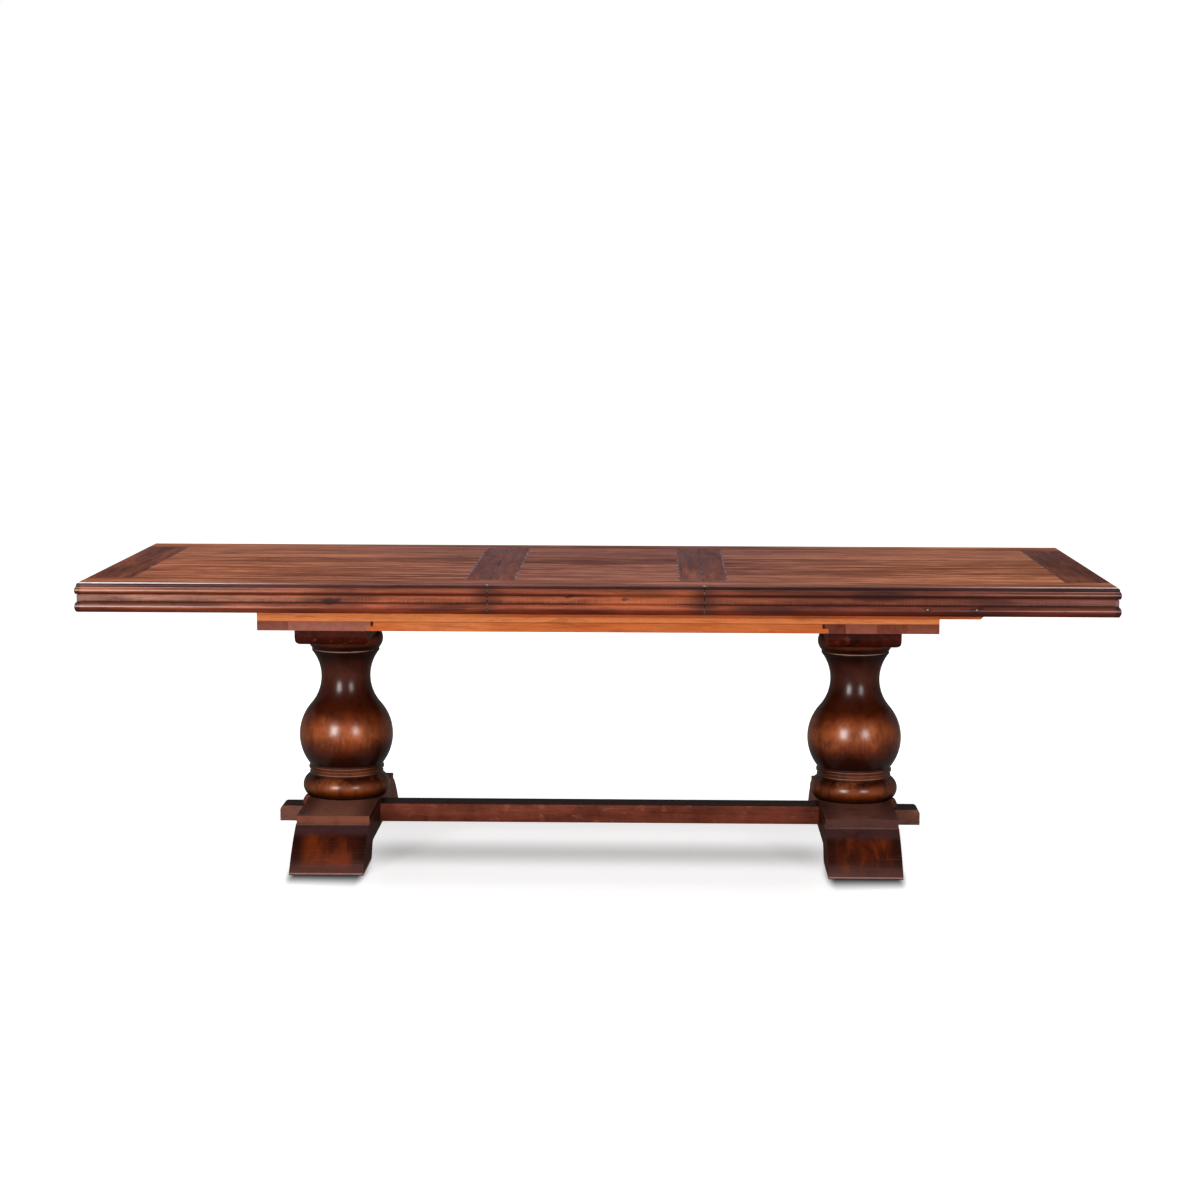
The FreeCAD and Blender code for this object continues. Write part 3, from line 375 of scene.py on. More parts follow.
edgeLook = {
    # Tone of the wood by level, from the underside of the apron up to the arris. Its dark quirks and bead
    # undersides are glaze and painted shade.
    "levels": (
        (0.7005, (92, 32, 13)), (0.7075, (108, 39, 15)), (0.7105, (104, 40, 18)), (0.7125, (110, 48, 29)),
        (0.7150, (120, 58, 40)), (0.7190, (136, 70, 50)), (0.7240, (134, 66, 44)), (0.7258, (120, 58, 38)),
        (0.7270, (54, 22, 14)), (0.7292, (58, 24, 15)), (0.7312, (128, 65, 43)), (0.7350, (140, 73, 48)),
        (0.7430, (146, 76, 50)), (0.7465, (134, 70, 47)), (0.7480, (76, 31, 17)), (0.7492, (52, 19, 10)),
        (0.7525, (74, 26, 12)), (0.7542, (96, 41, 23)), (0.7560, (116, 56, 36)), (0.7600, (120, 62, 43)),
        (0.7650, (112, 60, 44)), (0.7668, (84, 42, 31)), (0.7690, (56, 25, 17)), (0.7715, (62, 30, 22)),
        (0.7745, (76, 44, 39)),
    ),
    # The same near the left end, greyed and lightened by a painted sheen.
    "ends": (
        (0.7005, (86, 34, 18)), (0.7075, (104, 42, 20)), (0.7105, (112, 52, 34)), (0.7125, (134, 82, 66)),
        (0.7150, (160, 110, 96)), (0.7175, (140, 88, 70)), (0.7200, (112, 60, 42)), (0.7258, (98, 48, 32)),
        (0.7270, (60, 28, 20)), (0.7292, (66, 32, 24)), (0.7312, (150, 102, 86)), (0.7350, (172, 122, 104)),
        (0.7430, (170, 120, 102)), (0.7465, (146, 96, 78)), (0.7480, (84, 36, 20)), (0.7492, (68, 26, 13)),
        (0.7525, (100, 44, 24)), (0.7542, (136, 78, 56)), (0.7560, (158, 100, 78)), (0.7600, (134, 80, 60)),
        (0.7640, (122, 72, 58)), (0.7668, (84, 46, 38)), (0.7700, (72, 44, 39)), (0.7745, (80, 54, 50)),
    ),
    # Painted highlights on the arrises, brightest near the ends: level, half width, tint.
    "arrises": (
        (0.7763, 0.0014, (232, 220, 218)), (0.7650, 0.0009, (176, 138, 126)),
        (0.7576, 0.0011, (204, 154, 130)), (0.7160, 0.0012, (196, 160, 150)),
    ),
    # Smudges and knots along the front: place, level, half length, half height, depth.
    "marks": (
        (-0.680, 0.733, 0.026, 0.011, 0.8), (-0.66, 0.745, 0.12, 0.035, 0.45),
        (-0.066, 0.749, 0.012, 0.006, 0.8), (0.082, 0.742, 0.010, 0.006, 0.7),
        (0.847, 0.717, 0.015, 0.007, 0.8), (0.974, 0.717, 0.015, 0.007, 0.8),
        (0.73, 0.753, 0.11, 0.020, 0.7), (0.44, 0.717, 0.13, 0.014, 0.6), (-0.43, 0.717, 0.15, 0.013, 0.5),
        (1.02, 0.737, 0.09, 0.014, 0.5), (-1.02, 0.724, 0.10, 0.010, 0.45), (0.13, 0.755, 0.10, 0.015, 0.4),
    ),
    "dots": ((0.851, 0.7185), (0.977, 0.7185)), "dotSize": (0.0035, 0.0026), "dotDepth": 0.5,
    # Warm patches where the stain is worn thin: place, level, half length, half height.
    "warm": ((0.14, 0.752, 0.17, 0.014), (0.10, 0.730, 0.15, 0.022), (-0.30, 0.718, 0.09, 0.010)),
    "warmDepth": 0.22,
    "glaze": (38, 20, 20), "joint": (24, 12, 11), "pale": (190, 170, 168), "dusk": (172, 172, 192),
    "polish": (186, 120, 90), "amber": (206, 106, 58), "corner": (120, 98, 102),
    # Painted light along the front, from its left end (negative) to its right: sheen near the ends, shade
    # toward the right and highlights on the arrises, each as from, to and depth.
    "leftEnd": (-0.50, -1.34, 1), "rightEnd": (0.7, 1.35, 0.40), "duskRun": (0.10, 0.60, 0.9),
    "leftShine": (-0.65, -1.30, 1), "rightShine": (0.80, 1.32, 0.5), "leastShine": 0.03, "arrisDepth": 0.9,
    # Effects of the grain, and of the distance to a seam.
    "darkBands": (0.50, 0.28, 0.5), "streaks": 2.4, "flecks": 1.2, "hatch": (0.46, 0.62, 0.14),
    "smudges": (0.56, 0.72, 0.55), "seamShade": (0.060, 0.002, 0.6), "seamLine": (0.0022, 0.0008, 0.8),
    "seamWear": (0.0024, 0.0010, 0.12), "worn": (0.48, 0.60), "chipLevel": 0.7765,
    "chipSize": (0.0040, 0.0022), "chipOut": (0.522, 0.527, 0.7), "fascia": (0.7290, 0.7440), "blur": 0.0008,
    "edge": (0.0012, 0.0045), "warp": (0.06, 0.012), "sideBlur": 0.3, "hatchScale": (420, 24),
    "roughNoise": ((22, 22, 60), 3, 0.6), "hatchNoise": (3, 0.6), "smudgeNoise": ((4.2, 4.2, 26), 4, 0.65),
    "wornNoise": ((9, 0, 200), 2),
    "cornerX": (1.328, 1.335), "cornerY": (0.515, 0.522), "cornerGlaze": 0.7, "cornerGrey": 0.6,
}


def alongFront(finish, stain, run):
    # Warm patches, dark marks and pale dots of the long sides, each with a wandering outline.
    look = edgeLook
    rough = finish.stretched(*look["roughNoise"]) - 0.5
    warpRun, warpLevel = run + rough * look["warp"][0], finish.z + rough * look["warp"][1]
    for place, level, wide, tall in look["warm"]:
        patch = finish.oval(warpRun - place, warpLevel - level, wide, tall)
        stain = finish.blend(patch * look["warmDepth"], stain, look["amber"])
    for place, level, wide, tall, depth in look["marks"]:
        mark = finish.oval(warpRun - place, warpLevel - level, wide, tall)
        stain = finish.blend(mark * depth, stain, look["glaze"])
    for place, level in look["dots"]:
        dot = finish.oval(run - place, finish.z - level, *look["dotSize"])
        stain = finish.blend(dot * look["dotDepth"], stain, look["pale"])
    return stain


def mouldedEdge(finish, colour, grain, along):
    # The mouldings: stain by level, dark glaze and painted shade in the hollows and under the beads, and
    # smudges where hands hold them.
    look = edgeLook
    run = finish.x * finish.side(look["sideBlur"])
    # Painted sheen: the mouldings grey and lighten near both ends, most at the left.
    greyed = finish.byLevel(finish.z, look["ends"])
    stain = finish.byLevel(finish.z, look["levels"])
    stain = finish.blend(finish.effect(run, *look["leftEnd"]), stain, greyed)
    stain = finish.blend(finish.effect(run, *look["rightEnd"]), stain, greyed)
    stain = finish.blend(finish.effect(grain.band, *look["darkBands"]), stain, look["glaze"])
    contrast = (grain.streak - 0.5) * look["streaks"] + (grain.fleck - 0.5) * look["flecks"]
    stain = finish.scaled(stain, contrast + 1.0)
    length = finish.x if along == "x" else finish.y
    fine, coarse = look["hatchScale"]
    hatch = finish.noise(finish.vector(length * fine, finish.z * coarse, 0.0), *look["hatchNoise"])
    low, high = look["fascia"]
    onFascia = finish.fade(finish.z, high + look["blur"], high)
    onFascia = onFascia * finish.fade(finish.z, low - look["blur"], low)
    stain = finish.blend(finish.effect(hatch, *look["hatch"]) * onFascia, stain, look["polish"])
    # Painted shade, darker toward the right of the front.
    stain = finish.blend(finish.effect(run, *look["duskRun"]), stain, finish.tinted(stain, look["dusk"]))
    if along == "x":
        stain = alongFront(finish, stain, run)
    smudge = finish.stretched(*look["smudgeNoise"])
    stain = finish.blend(finish.effect(smudge, *look["smudges"]), stain, look["glaze"])
    toSeam = abs(abs(finish.x) - top["seam"])
    stain = finish.blend(finish.effect(toSeam, *look["seamShade"]), stain, look["glaze"])
    stain = finish.blend(finish.effect(toSeam, *look["seamLine"]), stain, look["joint"])
    worn = finish.fade(finish.stretched(*look["wornNoise"]), *look["worn"])
    stain = finish.blend(finish.effect(toSeam, *look["seamWear"]) * worn, stain, look["pale"])
    # Painted shade where the rounded corners turn away from the light: darker beads and a greyer fascia.
    corner = finish.fade(abs(finish.x), *look["cornerX"]) * finish.fade(abs(finish.y), *look["cornerY"])
    stain = finish.blend(corner * (1 - onFascia) * look["cornerGlaze"], stain, look["glaze"])
    stain = finish.blend(corner * onFascia * look["cornerGrey"], stain, look["corner"])
    below = finish.fade(finish.z, *[top["height"] - depth for depth in look["edge"]])
    colour = finish.blend(below, colour, stain)
    # Painted highlights on the arrises, brightest near the ends.
    shine = finish.effect(run, *look["leftShine"]) + finish.effect(run, *look["rightShine"])
    shine = (shine + look["leastShine"]).maths("MINIMUM", 1) * look["arrisDepth"]
    for level, wide, tint in look["arrises"]:
        colour = finish.blend(finish.line(finish.z - level, wide) * shine, colour, tint)
    chip = finish.oval(toSeam, finish.z - look["chipLevel"], *look["chipSize"])
    return finish.blend(chip * finish.effect(abs(finish.y), *look["chipOut"]), colour, look["pale"]), below


# The long boards' own wood is the field's, a little calmer.
boardLook = {
    **fieldLook,
    "mix": {"streak": 0.8, "fleck": 0.8, "band": 0.6, "patch": 0.4, "fibre": 0.2}, "less": 0.9,
    "stops": {"dark": 0.28, "middle": 0.5, "light": 0.76}, "rings": 0.2, "pores": 0.35,
    "rim": (88, 58, 54), "rimWidth": 0.018, "rimDepth": 0.8, "shift": 7.7,
    "relief": {"fibre": 0.5, "streak": 0.5}, "depth": 0.0007,
    "flat": 0.32, "patchGloss": 0.1, "edgeCoat": 0.04,
}


def edgeWood(name, along):
    # Long boards with the moulded edge, and the aprons under them.
    finish = Finish(name)
    look = boardLook
    grain = woodGrain(finish, along, look["shift"])
    colour = groundTone(finish, grain, look)
    colour = finish.blend(grain.ring * look["rings"], colour, look["dark"])
    colour = sunlit(finish, colour, look["shade"])
    toRim = finish.fade(abs(finish.y), top["shoulder"] - look["rimWidth"], top["shoulder"])
    colour = finish.blend(toRim * look["rimDepth"], colour, look["rim"])
    colour, below = mouldedEdge(finish, colour, grain, along)
    colour = finish.blend(grain.pore * look["pores"], colour, edgeLook["glaze"])
    colour = scuffed(finish, colour, bandLook)
    return boardFace(finish, colour, grain, look, look["coat"] + below * look["edgeCoat"])


columnLook = {
    "glaze": (24, 8, 4), "amber": (186, 104, 60), "line": (206, 158, 132), "lowLine": (204, 132, 94),
    "shift": 5.3,
    # Tone of the wood by level, from the base up to the cap.
    "levels": (
        (0.127, (24, 8, 4)), (0.140, (62, 24, 8)), (0.150, (112, 48, 15)), (0.158, (138, 70, 34)),
        (0.168, (124, 60, 32)), (0.177, (78, 31, 13)), (0.185, (42, 15, 7)), (0.190, (46, 18, 9)),
        (0.1955, (92, 50, 34)), (0.202, (112, 56, 32)), (0.2075, (66, 24, 7)), (0.212, (72, 32, 18)),
        (0.218, (34, 12, 6)), (0.234, (38, 12, 5)), (0.248, (48, 16, 6)), (0.264, (80, 31, 12)),
        (0.284, (122, 52, 20)), (0.306, (166, 84, 40)), (0.328, (166, 84, 41)), (0.344, (138, 63, 28)),
        (0.360, (106, 44, 16)), (0.380, (70, 24, 8)), (0.405, (58, 19, 7)), (0.436, (62, 25, 15)),
        (0.470, (68, 30, 19)), (0.500, (56, 22, 12)), (0.525, (28, 9, 5)), (0.540, (40, 15, 8)),
        (0.549, (22, 7, 4)), (0.556, (84, 36, 18)), (0.566, (106, 46, 20)), (0.588, (92, 38, 16)),
    ),
    # Thin painted highlight lines on the ring and the small bead: level, half width, depth.
    "lines": ((0.5385, 0.0012, 0.50), (0.2110, 0.0014, 0.34), (0.2025, 0.0014, 0.34), (0.1930, 0.0013, 0.45)),
    "lowLines": (0.3, 0.4), "polished": (0.095, 0.045),
    # The level tones wander on the bulb alone: its level, and where the wander ends and is full.
    "wander": (0.32, 0.10, 0.05), "wanderBy": 0.040,
    # Swells where amber wood shows: level, outer and inner half height.
    "swells": ((0.318, 0.055, 0.020), (0.172, 0.020, 0.008)), "lit": (0.48, 0.66, 0.55),
    # Glaze, and painted shade toward the column's sides, as from, to and depth.
    "blotches": (0.52, 0.32, 0.35), "streaks": (0.48, 0.28, 0.22), "clouds": (0.54, 0.36, 0.34),
    "sides": (0.045, 0.118, 0.55), "fibres": 0.16, "pores": 0.3,
    "relief": {"fibre": 0.4, "streak": 0.4}, "depth": 0.0004, "flat": 0.25, "blotchGloss": 0.10,
    # The coat is thinner on the neck, at the ring and on the base: from, to and by how much.
    "coat": 0.14, "thinner": ((0.37, 0.43, 0.045), (0.47, 0.53, 0.035), (0.21, 0.19, 0.03)),
    "coatRough": 0.25,
    "blotchNoise": ((11, 11, 9), 3, 0.5, 0.4), "cloudNoise": ((40, 40, 17), 4, 0.6),
    # The lit patches: scale around, scale upward and shift.
    "litPlace": (13, 12, 4), "litNoise": (4, 0.6, 0.2),
}


def turnedWood():
    # Columns: amber wood under a dark glaze that lies in the hollows and on the neck, with painted shade
    # toward the sides and painted highlight lines.
    finish = Finish("turnedWood")
    look = columnLook
    grain = woodGrain(finish, "z", look["shift"])
    blotch = finish.stretched(*look["blotchNoise"])
    middle, outer, inner = look["wander"]
    wander = (blotch - 0.5) * look["wanderBy"] * finish.fade(abs(finish.z - middle), outer, inner)
    colour = finish.byLevel(finish.z + wander, look["levels"])
    bulb, torus = [finish.fade(abs(finish.z - level), outer, inner) for level, outer, inner in look["swells"]]
    around, upward, shift = look["litPlace"]
    place = finish.vector(finish.x * around, finish.y * around, finish.z * upward + shift)
    lit = finish.noise(place, *look["litNoise"])
    colour = finish.blend(finish.effect(lit, *look["lit"]) * (bulb + torus), colour, look["amber"])
    dark = finish.effect(blotch, *look["blotches"]) + finish.effect(grain.streak, *look["streaks"])
    cloud = finish.effect(finish.stretched(*look["cloudNoise"]), *look["clouds"])
    toSide = abs(abs(finish.x) - footLook["place"])
    # Painted shade toward the column's sides.
    side = finish.effect(toSide, *look["sides"])
    for share in (dark, cloud, side, grain.fibre * look["fibres"], grain.pore * look["pores"]):
        colour = finish.blend(share, colour, look["glaze"])
    # Painted highlights, only where the column faces front and back.
    polished = finish.fade(toSide, *look["polished"])
    lineTint = finish.blend(finish.fade(finish.z, *look["lowLines"]), look["lowLine"], look["line"])
    for level, wide, depth in look["lines"]:
        colour = finish.blend(finish.line(finish.z - level, wide) * polished * depth, colour, lineTint)
    coat = look["coat"]
    for low, high, less in look["thinner"]:
        coat = coat - finish.effect(finish.z, low, high, less)
    return finish.surface(colour, look["flat"] + blotch * look["blotchGloss"], relief(finish, grain, look),
                          coat=coat, coatRough=look["coatRough"])


footLook = {
    "topFace": (158, 104, 86), "topDark": (90, 54, 46), "band": (116, 66, 49), "strip": (66, 42, 42),
    "slope": (102, 41, 15), "slopeDark": (54, 20, 11), "side": (32, 14, 10), "toe": (72, 40, 35),
    "flank": (66, 32, 22), "farFlank": (128, 74, 60), "sole": (150, 122, 114), "arris": (134, 100, 90),
    "glaze": (30, 14, 12),
    # Place of the feet along x, and half size of the four toes' outline on the floor.
    "place": 0.7085, "core": (0.081, 0.458), "shift": 2.2,
    # Effects as from, to and depth: of the drips, of the distance from the foot's middle and of the level.
    "drips": (0.40, 0.66), "sideShade": (0.056, 0.088, 0.9), "sideDrip": 0.06,
    "toeShade": (0.040, 0.008, 0.9), "toeDrip": 0.016, "stripLevel": (0.080, 0.094, 0.9),
    "bandLevel": (0.1055, 0.1065), "topRim": (0.035, 0.092, 0.8),
    # One end of each foot took the stain darker.
    "stained": (-0.1, 0.1), "stainedBand": 0.85, "stainedTop": (0.46, 0.24, 0.55),
    "isTop": (0.90, 0.97), "isFlank": (0.6, 0.8), "flankRun": (0.0, 0.16),
    "mottle": (0.50, 0.78, 0.5), "scratches": (0.52, 0.70, 0.08), "pores": 0.4,
    # Painted highlight lines on the band's lower arris and the sole's edge: level, half width, depth.
    "arrisLine": (0.1062, 0.0013, 0.5), "soleLine": (0.0042, 0.0026, 0.7),
    "relief": {"fibre": 0.5, "streak": 0.5}, "depth": 0.0006, "flat": 0.36, "mottleGloss": 0.12,
    "coat": 0.06, "flatCoat": 0.03,
    "dripNoise": ((17, 5, 9), 4, 0.6, 0.5), "mottleNoise": ((16, 9, 16), 4, 0.6, 0.3),
    "scratchNoise": ((5, 5, 240), 3, 0.6),
}


def footWood():
    # Feet: each face has its own depth of stain, with painted highlights, a painted reflection on the toes
    # and painted light on the far flanks.
    finish = Finish("footWood")
    look = footLook
    grain = woodGrain(finish, "y", look["shift"])
    facingX, facingZ = finish.facing()
    edge = abs(abs(finish.x) - look["place"])
    drips = finish.stretched(*look["dripNoise"])
    sideways, height = edge + (drips - 0.5) * look["sideDrip"], finish.z + (drips - 0.5) * look["toeDrip"]
    slope = finish.blend(finish.fade(drips, *look["drips"]), look["slopeDark"], look["slope"])
    slope = finish.blend(finish.effect(sideways, *look["sideShade"]), slope, look["side"])
    # Painted reflection: the toe near the floor is greyer and more purple.
    slope = finish.blend(finish.effect(height, *look["toeShade"]), slope, look["toe"])
    slope = finish.blend(finish.effect(finish.z, *look["stripLevel"]), slope, look["strip"])
    stained = finish.fade(finish.x * finish.side(), *look["stained"])
    band = finish.blend(stained * look["stainedBand"], look["band"], look["strip"])
    slope = finish.blend(finish.fade(finish.z, *look["bandLevel"]), slope, band)
    # Painted highlight: the top is lighter down its middle and darker toward its sides.
    topFace = finish.blend(finish.effect(edge, *look["topRim"]), look["topFace"], look["topDark"])
    onEnd = stained * finish.effect(abs(finish.y), *look["stainedTop"])
    topFace = finish.blend(onEnd, topFace, look["topDark"])
    isTop = finish.fade(facingZ, *look["isTop"])
    colour = finish.blend(isTop, slope, topFace)
    isFlank = finish.fade(abs(facingX), *look["isFlank"])
    # Painted light: the flanks are lighter toward the back.
    flank = finish.blend(finish.fade(finish.y, *look["flankRun"]), look["flank"], look["farFlank"])
    colour = finish.blend(isFlank, colour, flank)
    mottle = finish.stretched(*look["mottleNoise"])
    colour = finish.blend(finish.effect(mottle, *look["mottle"]), colour, look["glaze"])
    scratches = finish.stretched(*look["scratchNoise"])
    colour = finish.blend(finish.effect(scratches, *look["scratches"]) * (1 - isTop), colour, look["arris"])
    # Painted highlight lines on the arrises.
    for name, tint in (("arrisLine", "arris"), ("soleLine", "sole")):
        level, wide, depth = look[name]
        colour = finish.blend(finish.line(finish.z - level, wide) * depth, colour, look[tint])
    colour = finish.blend(grain.pore * look["pores"], colour, look["glaze"])
    return finish.surface(colour, look["flat"] + mottle * look["mottleGloss"], relief(finish, grain, look),
                          coat=look["coat"] - isTop * look["flatCoat"] - isFlank * look["flatCoat"])


beamLooks = {
    "stretcher": {
        "dark": (74, 32, 22), "light": (126, 64, 46), "topFace": (52, 38, 38), "spot": (160, 100, 76),
        "tip": (132, 90, 78), "along": "x",
    },
    "bearer": {
        "dark": (28, 8, 5), "light": (76, 24, 12), "topFace": (44, 20, 14), "spot": (124, 50, 28),
        "tip": (76, 24, 12), "along": "y",
    },
    "key": {
        "dark": (62, 30, 22), "light": (118, 66, 50), "topFace": (80, 50, 42), "spot": (130, 80, 62),
        "tip": (118, 66, 50), "along": "z",
    },
    # What the three have in common.
    "all": {
        "shift": 4.1,
        "mix": {"streak": 0.5, "band": 0.5, "blotch": 0.8, "fibre": 0.2}, "less": 0.5,
        "stops": {"dark": 0.28, "light": 0.78},
        "spots": (0.56, 0.72), "spotMiddle": (0.085, 0.030, 0.4), "spotLeast": 0.3,
        "tips": (0.80, 0.82, 0.6), "isFlank": (0.6, 0.8), "isTop": (0.75, 0.92), "topDepth": 0.9,
        "pore": (24, 10, 7), "pores": 0.4, "relief": {"fibre": 0.5, "streak": 0.4}, "depth": 0.0006,
        "flat": 0.34, "patchGloss": 0.1, "coat": 0.06, "flatCoat": 0.03,
        "blotchNoise": ((9, 5, 12), 4, 0.62, 0.3), "spotNoise": ((28, 28, 34), 3, 0.6),
    },
}


def beamWood(name):
    # Stretcher, bearers and keys.
    finish = Finish(name + "Wood")
    look = {**beamLooks["all"], **beamLooks[name]}
    grain = woodGrain(finish, look["along"], look["shift"])
    grain.blotch = finish.stretched(*look["blotchNoise"])
    colour = groundTone(finish, grain, look)
    spots = finish.fade(finish.stretched(*look["spotNoise"]), *look["spots"])
    middle = finish.effect(abs(abs(finish.x) - footLook["place"]), *look["spotMiddle"])
    colour = finish.blend(spots * (middle + look["spotLeast"]), colour, look["spot"])
    colour = finish.blend(finish.effect(abs(finish.x), *look["tips"]), colour, look["tip"])
    facingX, facingZ = finish.facing()
    isFlank = finish.fade(abs(facingX), *look["isFlank"])
    isTop = finish.fade(facingZ, *look["isTop"])
    colour = finish.blend(isTop * look["topDepth"], colour, look["topFace"])
    colour = finish.blend(grain.pore * look["pores"], colour, look["pore"])
    coat = look["coat"] - isTop * look["flatCoat"] - isFlank * look["flatCoat"]
    return boardFace(finish, colour, grain, look, coat)


railLook = {
    "dark": (156, 72, 34), "middle": (196, 104, 54), "light": (228, 140, 84), "bleach": (250, 150, 90),
    "line": (124, 52, 26), "shadow": (188, 86, 48), "shift": 6.4,
    "mix": {"streak": 0.8, "fleck": 0.4, "band": 0.6, "patch": 0.5}, "less": 0.67,
    "stops": {"dark": 0.2, "middle": 0.48, "light": 0.8}, "rings": 0.16, "pores": 0.35,
    # Painted shadow of the apron on the outer rails' upper part.
    "keptLevel": (0.668, 0.672, 1.4), "keptRun": (-0.45, -0.15),
    "streaks": (0.55, 0.64, 0.40), "knots": (0.60, 0.74, 0.5), "fibres": (0.56, 0.66, 0.25),
    "glueLines": (0.656, 0.631), "glueWidth": 0.0016, "glueDepth": 0.6,
    "relief": {"fibre": 0.7, "streak": 0.3}, "depth": 0.0005, "flat": 0.52, "patchGloss": 0.1, "coat": 0.03,
    "knotNoise": ((5, 12, 34), 3, 0.6, 0.4),
}


def railWood(name, along, bleached=0.0):
    # Bare light hardwood of the rails and slides under the top, painted lighter on the outer ones, as if more
    # light reached them.
    finish = Finish(name)
    look = railLook
    grain = woodGrain(finish, along, look["shift"])
    colour = groundTone(finish, grain, look)
    colour = finish.blend(grain.ring * look["rings"], colour, look["dark"])
    # Painted light: the outer rails and slides are made lighter.
    colour = finish.blend(bleached, colour, look["bleach"])
    run = finish.x * finish.side()
    # Painted shadow of the apron.
    kept = finish.effect(finish.z, *look["keptLevel"]) * finish.fade(run, *look["keptRun"])
    colour = finish.blend(kept * bleached, colour, look["shadow"])
    colour = finish.blend(finish.effect(grain.streak, *look["streaks"]), colour, look["line"])
    knots = finish.stretched(*look["knotNoise"])
    colour = finish.blend(finish.effect(knots, *look["knots"]), colour, look["line"])
    colour = finish.blend(finish.effect(grain.fibre, *look["fibres"]), colour, look["line"])
    # Dark lines at two levels along the rails.
    for level in look["glueLines"]:
        glueLine = finish.line(finish.z - level, look["glueWidth"])
        colour = finish.blend(glueLine * look["glueDepth"], colour, look["line"])
    colour = finish.blend(grain.pore * look["pores"], colour, look["line"])
    return boardFace(finish, colour, grain, look, look["coat"])


plateLook = {
    "dark": (98, 50, 40), "middle": (132, 77, 62), "light": (156, 97, 80), "pore": (70, 34, 26),
    "dusk": (232, 210, 200), "mix": {"streak": 0.5, "patch": 0.4, "own": 0.45}, "less": 0.17,
    "stops": {"dark": 0.2, "middle": 0.5, "light": 0.85},
    "block": (0.082, 0.115), "rowStep": 17, "ownShift": 5, "duskRun": (-0.3, 0.3, 0.8), "pores": 0.4,
    "relief": {"fibre": 1}, "depth": 0.0004, "flat": 0.5, "patchGloss": 0.1, "coat": 0.03,
}


def plateWood():
    # Plates of glued blocks, thinly stained, with painted shade that makes the right one duskier.
    finish = Finish("plateWood")
    look = plateLook
    blockLong, blockWide = look["block"]
    column, row = (finish.x / blockLong).maths("FLOOR"), (finish.y / blockWide).maths("FLOOR")
    own = finish.chance(column + row * look["rowStep"])
    grain = woodGrain(finish, "y", own * look["ownShift"])
    grain.own = own
    colour = groundTone(finish, grain, look)
    # Painted shade, darker toward the right.
    dusky = finish.tinted(colour, look["dusk"])
    colour = finish.blend(finish.effect(finish.x, *look["duskRun"]), colour, dusky)
    colour = finish.blend(grain.pore * look["pores"], colour, look["pore"])
    return boardFace(finish, colour, grain, look, look["coat"])


nylonLook = {
    "dark": (196, 188, 168), "light": (222, 216, 198), "flat": 0.42, "gloss": 0.15, "depth": 0.0004,
    "flowNoise": ((40, 40, 60), 3), "shine": 0.4,
}


def gearNylon():
    finish = Finish("gearNylon")
    look = nylonLook
    flow = finish.stretched(*look["flowNoise"])
    colour = finish.blend(flow, look["dark"], look["light"])
    return finish.surface(colour, look["flat"] + flow * look["gloss"], finish.bump(flow, look["depth"]),
                          also={"Specular IOR Level": look["shine"]})


zincLook = {
    "dark": (150, 148, 142), "light": (196, 194, 188), "flat": 0.28, "gloss": 0.2, "depth": 0.0002,
    "spangleNoise": ((220, 220, 60), 3, 0.6),
}


def zincSteel():
    finish = Finish("zincSteel")
    look = zincLook
    spangle = finish.stretched(*look["spangleNoise"])
    colour = finish.blend(spangle, look["dark"], look["light"])
    return finish.surface(colour, look["flat"] + spangle * look["gloss"], finish.bump(spangle, look["depth"]),
                          also={"Metallic": 1})


finishes = {
    "field": fieldWood(),
    "crossBand": bandWood(),
    "longEdge": edgeWood("longEdgeWood", "x"),
    "endEdge": edgeWood("endEdgeWood", "y"),
    "column": turnedWood(),
    "foot": footWood(),
    "stretcher": beamWood("stretcher"),
    "bearer": beamWood("bearer"),
    "key": beamWood("key"),
    "rail": railWood("railWood", "x"),
    "outerRail": railWood("outerRailWood", "x", 0.60),
    "crossRail": railWood("crossRailWood", "y"),
    "plate": plateWood(),
    "nylon": gearNylon(),
    "steel": zincSteel(),
}
print("finishes ready:", len(finishes))

# Which finish each piece has, by the end of its name. All others are steel.
wearers = (
    ("_field", "field"), ("_breadboard", "crossBand"), ("_seam_band", "crossBand"),
    ("left_band", "crossBand"), ("right_band", "crossBand"), ("_border", "longEdge"),
    ("front_apron", "longEdge"), ("back_apron", "longEdge"), ("end_apron", "endEdge"),
    ("_column", "column"), ("_foot", "foot"), ("stretcher", "stretcher"), ("_bearer", "bearer"),
    ("_key", "key"), ("outer_rail", "outerRail"), ("_rail", "rail"), ("_slide", "outerRail"),
    ("gear_board", "crossRail"), ("end_cleat", "crossRail"), ("_plate", "plate"),
    ("pinion", "nylon"), ("_rack", "nylon"),
)
# Boards whose arrises are worn round where they are sharper than an angle in degrees.
softened = {
    "pieces": ("_foot", "stretcher", "_key", "_plate", "_bearer"),
    "width": 0.0012, "segments": 2, "above": 50,
}

for name, piece in nodes.items():
    worn = next((finish for ending, finish in wearers if name.endswith(ending)), "steel")
    piece.data.materials.clear()
    piece.data.materials.append(finishes[worn])
    if name.endswith(softened["pieces"]):
        bevel = piece.modifiers.new("softArris", "BEVEL")
        bevel.width = softened["width"]
        bevel.segments = softened["segments"]
        bevel.limit_method = "ANGLE"
        bevel.angle_limit = math.radians(softened["above"])
print("pieces finished")


